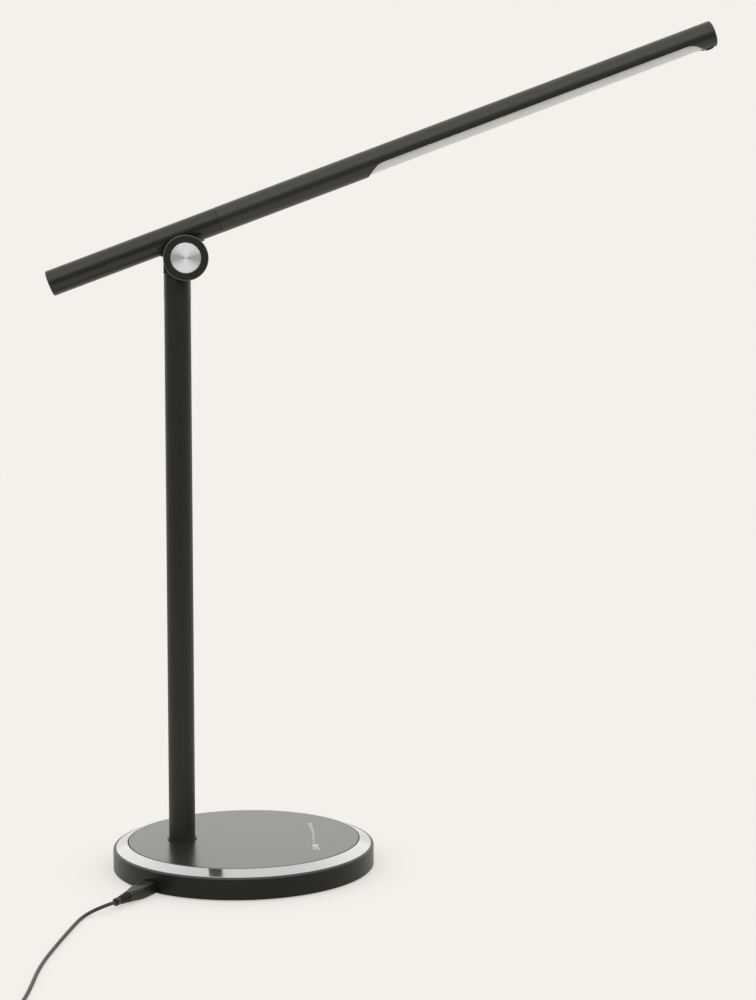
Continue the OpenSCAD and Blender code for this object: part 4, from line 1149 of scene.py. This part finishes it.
def make_far_plug():
    """Moulded grip of the far plug: round neck, softened block, grooves in its sides."""
    low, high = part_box("usb_plug")
    middle = (low + high) / 2
    front = columns(X, Z, -Y, Vector((middle.x, high.y, middle.z)))
    grip_l = (high.y - low.y - FAR_NECK_L) / MM
    rings = []
    for k in range(FAR_NECK_STEPS + 1):
        t = k / FAR_NECK_STEPS
        r = between(FAR_NECK_R, t)
        rings.append([(x, y, FAR_NECK_L * t) for x, y in rounded_outline(r, r, 0.98 * r, 8)])
    sections = list(FAR_SHOULDER)
    sections += [(grip_l + u, FAR_HALF_W - inset, FAR_HALF_H - inset, FAR_CORNER) for u, inset in FAR_EDGE]
    for u, w, h, corner in sections:
        outline = rounded_outline(w * MM, h * MM, corner * MM, 8)
        rings.append([(x, y, FAR_NECK_L + u * MM) for x, y in outline])
    plug = add_object("usb_plug_grip", loft("usb_plug_grip", rings, PLUG_SMOOTH), front)
    grooves = []
    for k in range(GRIP_GROOVES):
        for side in (-FAR_HALF_W * MM, FAR_HALF_W * MM):
            place = front @ Matrix.Translation((side, 0, FAR_NECK_L + GRIP_FROM + GRIP_PITCH * k))
            outline = rounded_outline(*GRIP_HALF, GRIP_CORNER)
            groove = prism("groove", outline, -GRIP_HALF_L, GRIP_HALF_L, place)
            grooves.append(add_object("groove", groove))
    carve(plug, grooves, GRIP_SOFT, PLUG_SMOOTH)
    return dress(plug, "base", "cord_black", ("usb_plug",))


far_plug = make_far_plug()

# -------- studio

CREAM = (0.9047, 0.8796, 0.8228)
WHITE = (1, 1, 1)
FLOOR_R = 3.0
FLOOR_FRONT = -0.90
FLOOR_BELOW = 0.1 * MM
FLOOR_SIDES = 96
FLOOR_SHADE = 0.90  # the bright ceiling lights the floor a tenth more than the backdrop
# Distances over which the floor fades into the backdrop's colour, and the share of that colour at each
FLOOR_FADE = (0.12, 0.5, 0.55, 1.0)
# Light levels round the horizon and overhead, from the camera's side (0) to the backdrop (1)
WALL_LEVELS = ((0.0, 0.20), (0.25, 0.27), (0.44, 0.42), (0.63, 0.60), (0.82, 1.06), (1.0, 1.20))
CEILING_LEVELS = ((0.0, 1.45), (0.5, 1.15), (0.72, 0.90), (0.90, 1.15), (1.0, 1.20))
FRONT_TINT = (0.985, 0.995, 1.0)
BACK_TINT = (0.985, 1.01, 0.97)
# How far the ceiling replaces the walls by the sine of the height, with its brightest strip low down
CEILING_RISE = ((0.0, 0.0), (0.20, 0.0), (0.42, 1.25), (0.58, 1.25), (0.80, 1.0), (1.0, 1.0))
# Part of the room behind the lamp where reflections show the backdrop that the camera sees
BACKDROP = (0.90, 0.975, 0, 1)


def seen_by(tree, value, kinds):
    """The value, or 1 on rays of those kinds."""
    path = wire_node(tree, "ShaderNodeLightPath")
    for kind in kinds:
        value = wire_math(tree, "MAXIMUM", value, path.outputs[kind])
    return value


def make_floor():
    """Pale floor that shades into the backdrop's colour away from the lamp."""
    bm = bmesh.new()
    table = Matrix.Translation((0, FLOOR_R + FLOOR_FRONT, -FLOOR_BELOW))
    bmesh.ops.create_circle(bm, cap_ends=True, segments=FLOOR_SIDES, radius=FLOOR_R, matrix=table)
    floor = add_object("floor", finish_mesh(bm, "floor"))
    material = bpy.data.materials.new("floor")
    material.use_nodes = True
    tree = material.node_tree
    tree.nodes.clear()
    paint = wire_node(tree, "ShaderNodeBsdfDiffuse")
    paint.inputs["Color"].default_value = (*tinted(CREAM, FLOOR_SHADE), 1)
    glow = wire_node(tree, "ShaderNodeEmission")
    glow.inputs["Color"].default_value = (*CREAM, 1)
    where = wire_node(tree, "ShaderNodeTexCoord")
    far = wire_node(tree, "ShaderNodeVectorMath", operation="LENGTH")
    tree.links.new(where.outputs["Object"], far.inputs[0])
    fade = wire_map(tree, far.outputs["Value"], FLOOR_FADE, interpolation_type="SMOOTHSTEP")
    path = wire_node(tree, "ShaderNodeLightPath")
    rays = seen_by(tree, path.outputs["Is Camera Ray"], ("Is Glossy Ray", "Is Transmission Ray"))
    mix = wire_node(tree, "ShaderNodeMixShader")
    tree.links.new(wire_math(tree, "MULTIPLY", fade, rays), mix.inputs["Fac"])
    tree.links.new(paint.outputs["BSDF"], mix.inputs[1])
    tree.links.new(glow.outputs["Emission"], mix.inputs[2])
    output = wire_node(tree, "ShaderNodeOutputMaterial")
    tree.links.new(mix.outputs["Shader"], output.inputs["Surface"])
    floor.data.materials.append(material)


def wire_ramp(tree, value, stops, front=WHITE, back=WHITE):
    """Levels by place, tinted from front to back."""
    made = wire_node(tree, "ShaderNodeValToRGB")
    made.color_ramp.interpolation = "EASE"
    marks = made.color_ramp.elements
    for place, _ in stops[1:-1]:
        marks.new(place)
    for element, (place, level) in zip(marks, stops):
        tint = [between(ends, place ** 3) for ends in zip(front, back)]
        element.color = (*[level * t for t in tint], 1)
    tree.links.new(value, made.inputs["Fac"])
    return made.outputs["Color"]


def make_world():
    """Studio: pale backdrop behind the lamp, bright ceiling, dim room behind the camera."""
    world = bpy.data.worlds.new("studio")
    bpy.context.scene.world = world
    world.use_nodes = True
    tree = world.node_tree
    tree.nodes.clear()
    where = wire_node(tree, "ShaderNodeTexCoord")
    parts = wire_node(tree, "ShaderNodeSeparateXYZ")
    tree.links.new(where.outputs["Generated"], parts.inputs["Vector"])
    back = wire_map(tree, parts.outputs["Y"], (-1, 1, 0, 1))
    walls = wire_ramp(tree, back, WALL_LEVELS, FRONT_TINT, BACK_TINT)
    ceiling = wire_ramp(tree, back, CEILING_LEVELS, FRONT_TINT, BACK_TINT)
    rise = wire_ramp(tree, parts.outputs["Z"], CEILING_RISE)
    studio = wire_blend(tree, rise, walls, ceiling, clamp_factor=False)
    behind = wire_map(tree, parts.outputs["Y"], BACKDROP, interpolation_type="SMOOTHSTEP")
    path = wire_node(tree, "ShaderNodeLightPath")
    mirrored = wire_math(tree, "MULTIPLY", path.outputs["Is Glossy Ray"], behind)
    rays = seen_by(tree, mirrored, ("Is Camera Ray", "Is Transmission Ray"))
    background = wire_node(tree, "ShaderNodeBackground")
    tree.links.new(wire_blend(tree, rays, studio, CREAM), background.inputs["Color"])
    output = wire_node(tree, "ShaderNodeOutputWorld")
    tree.links.new(background.outputs["Background"], output.inputs["Surface"])


make_floor()
make_world()

scene = bpy.context.scene
scene.view_settings.view_transform = "Standard"

bpy.context.view_layer.update()
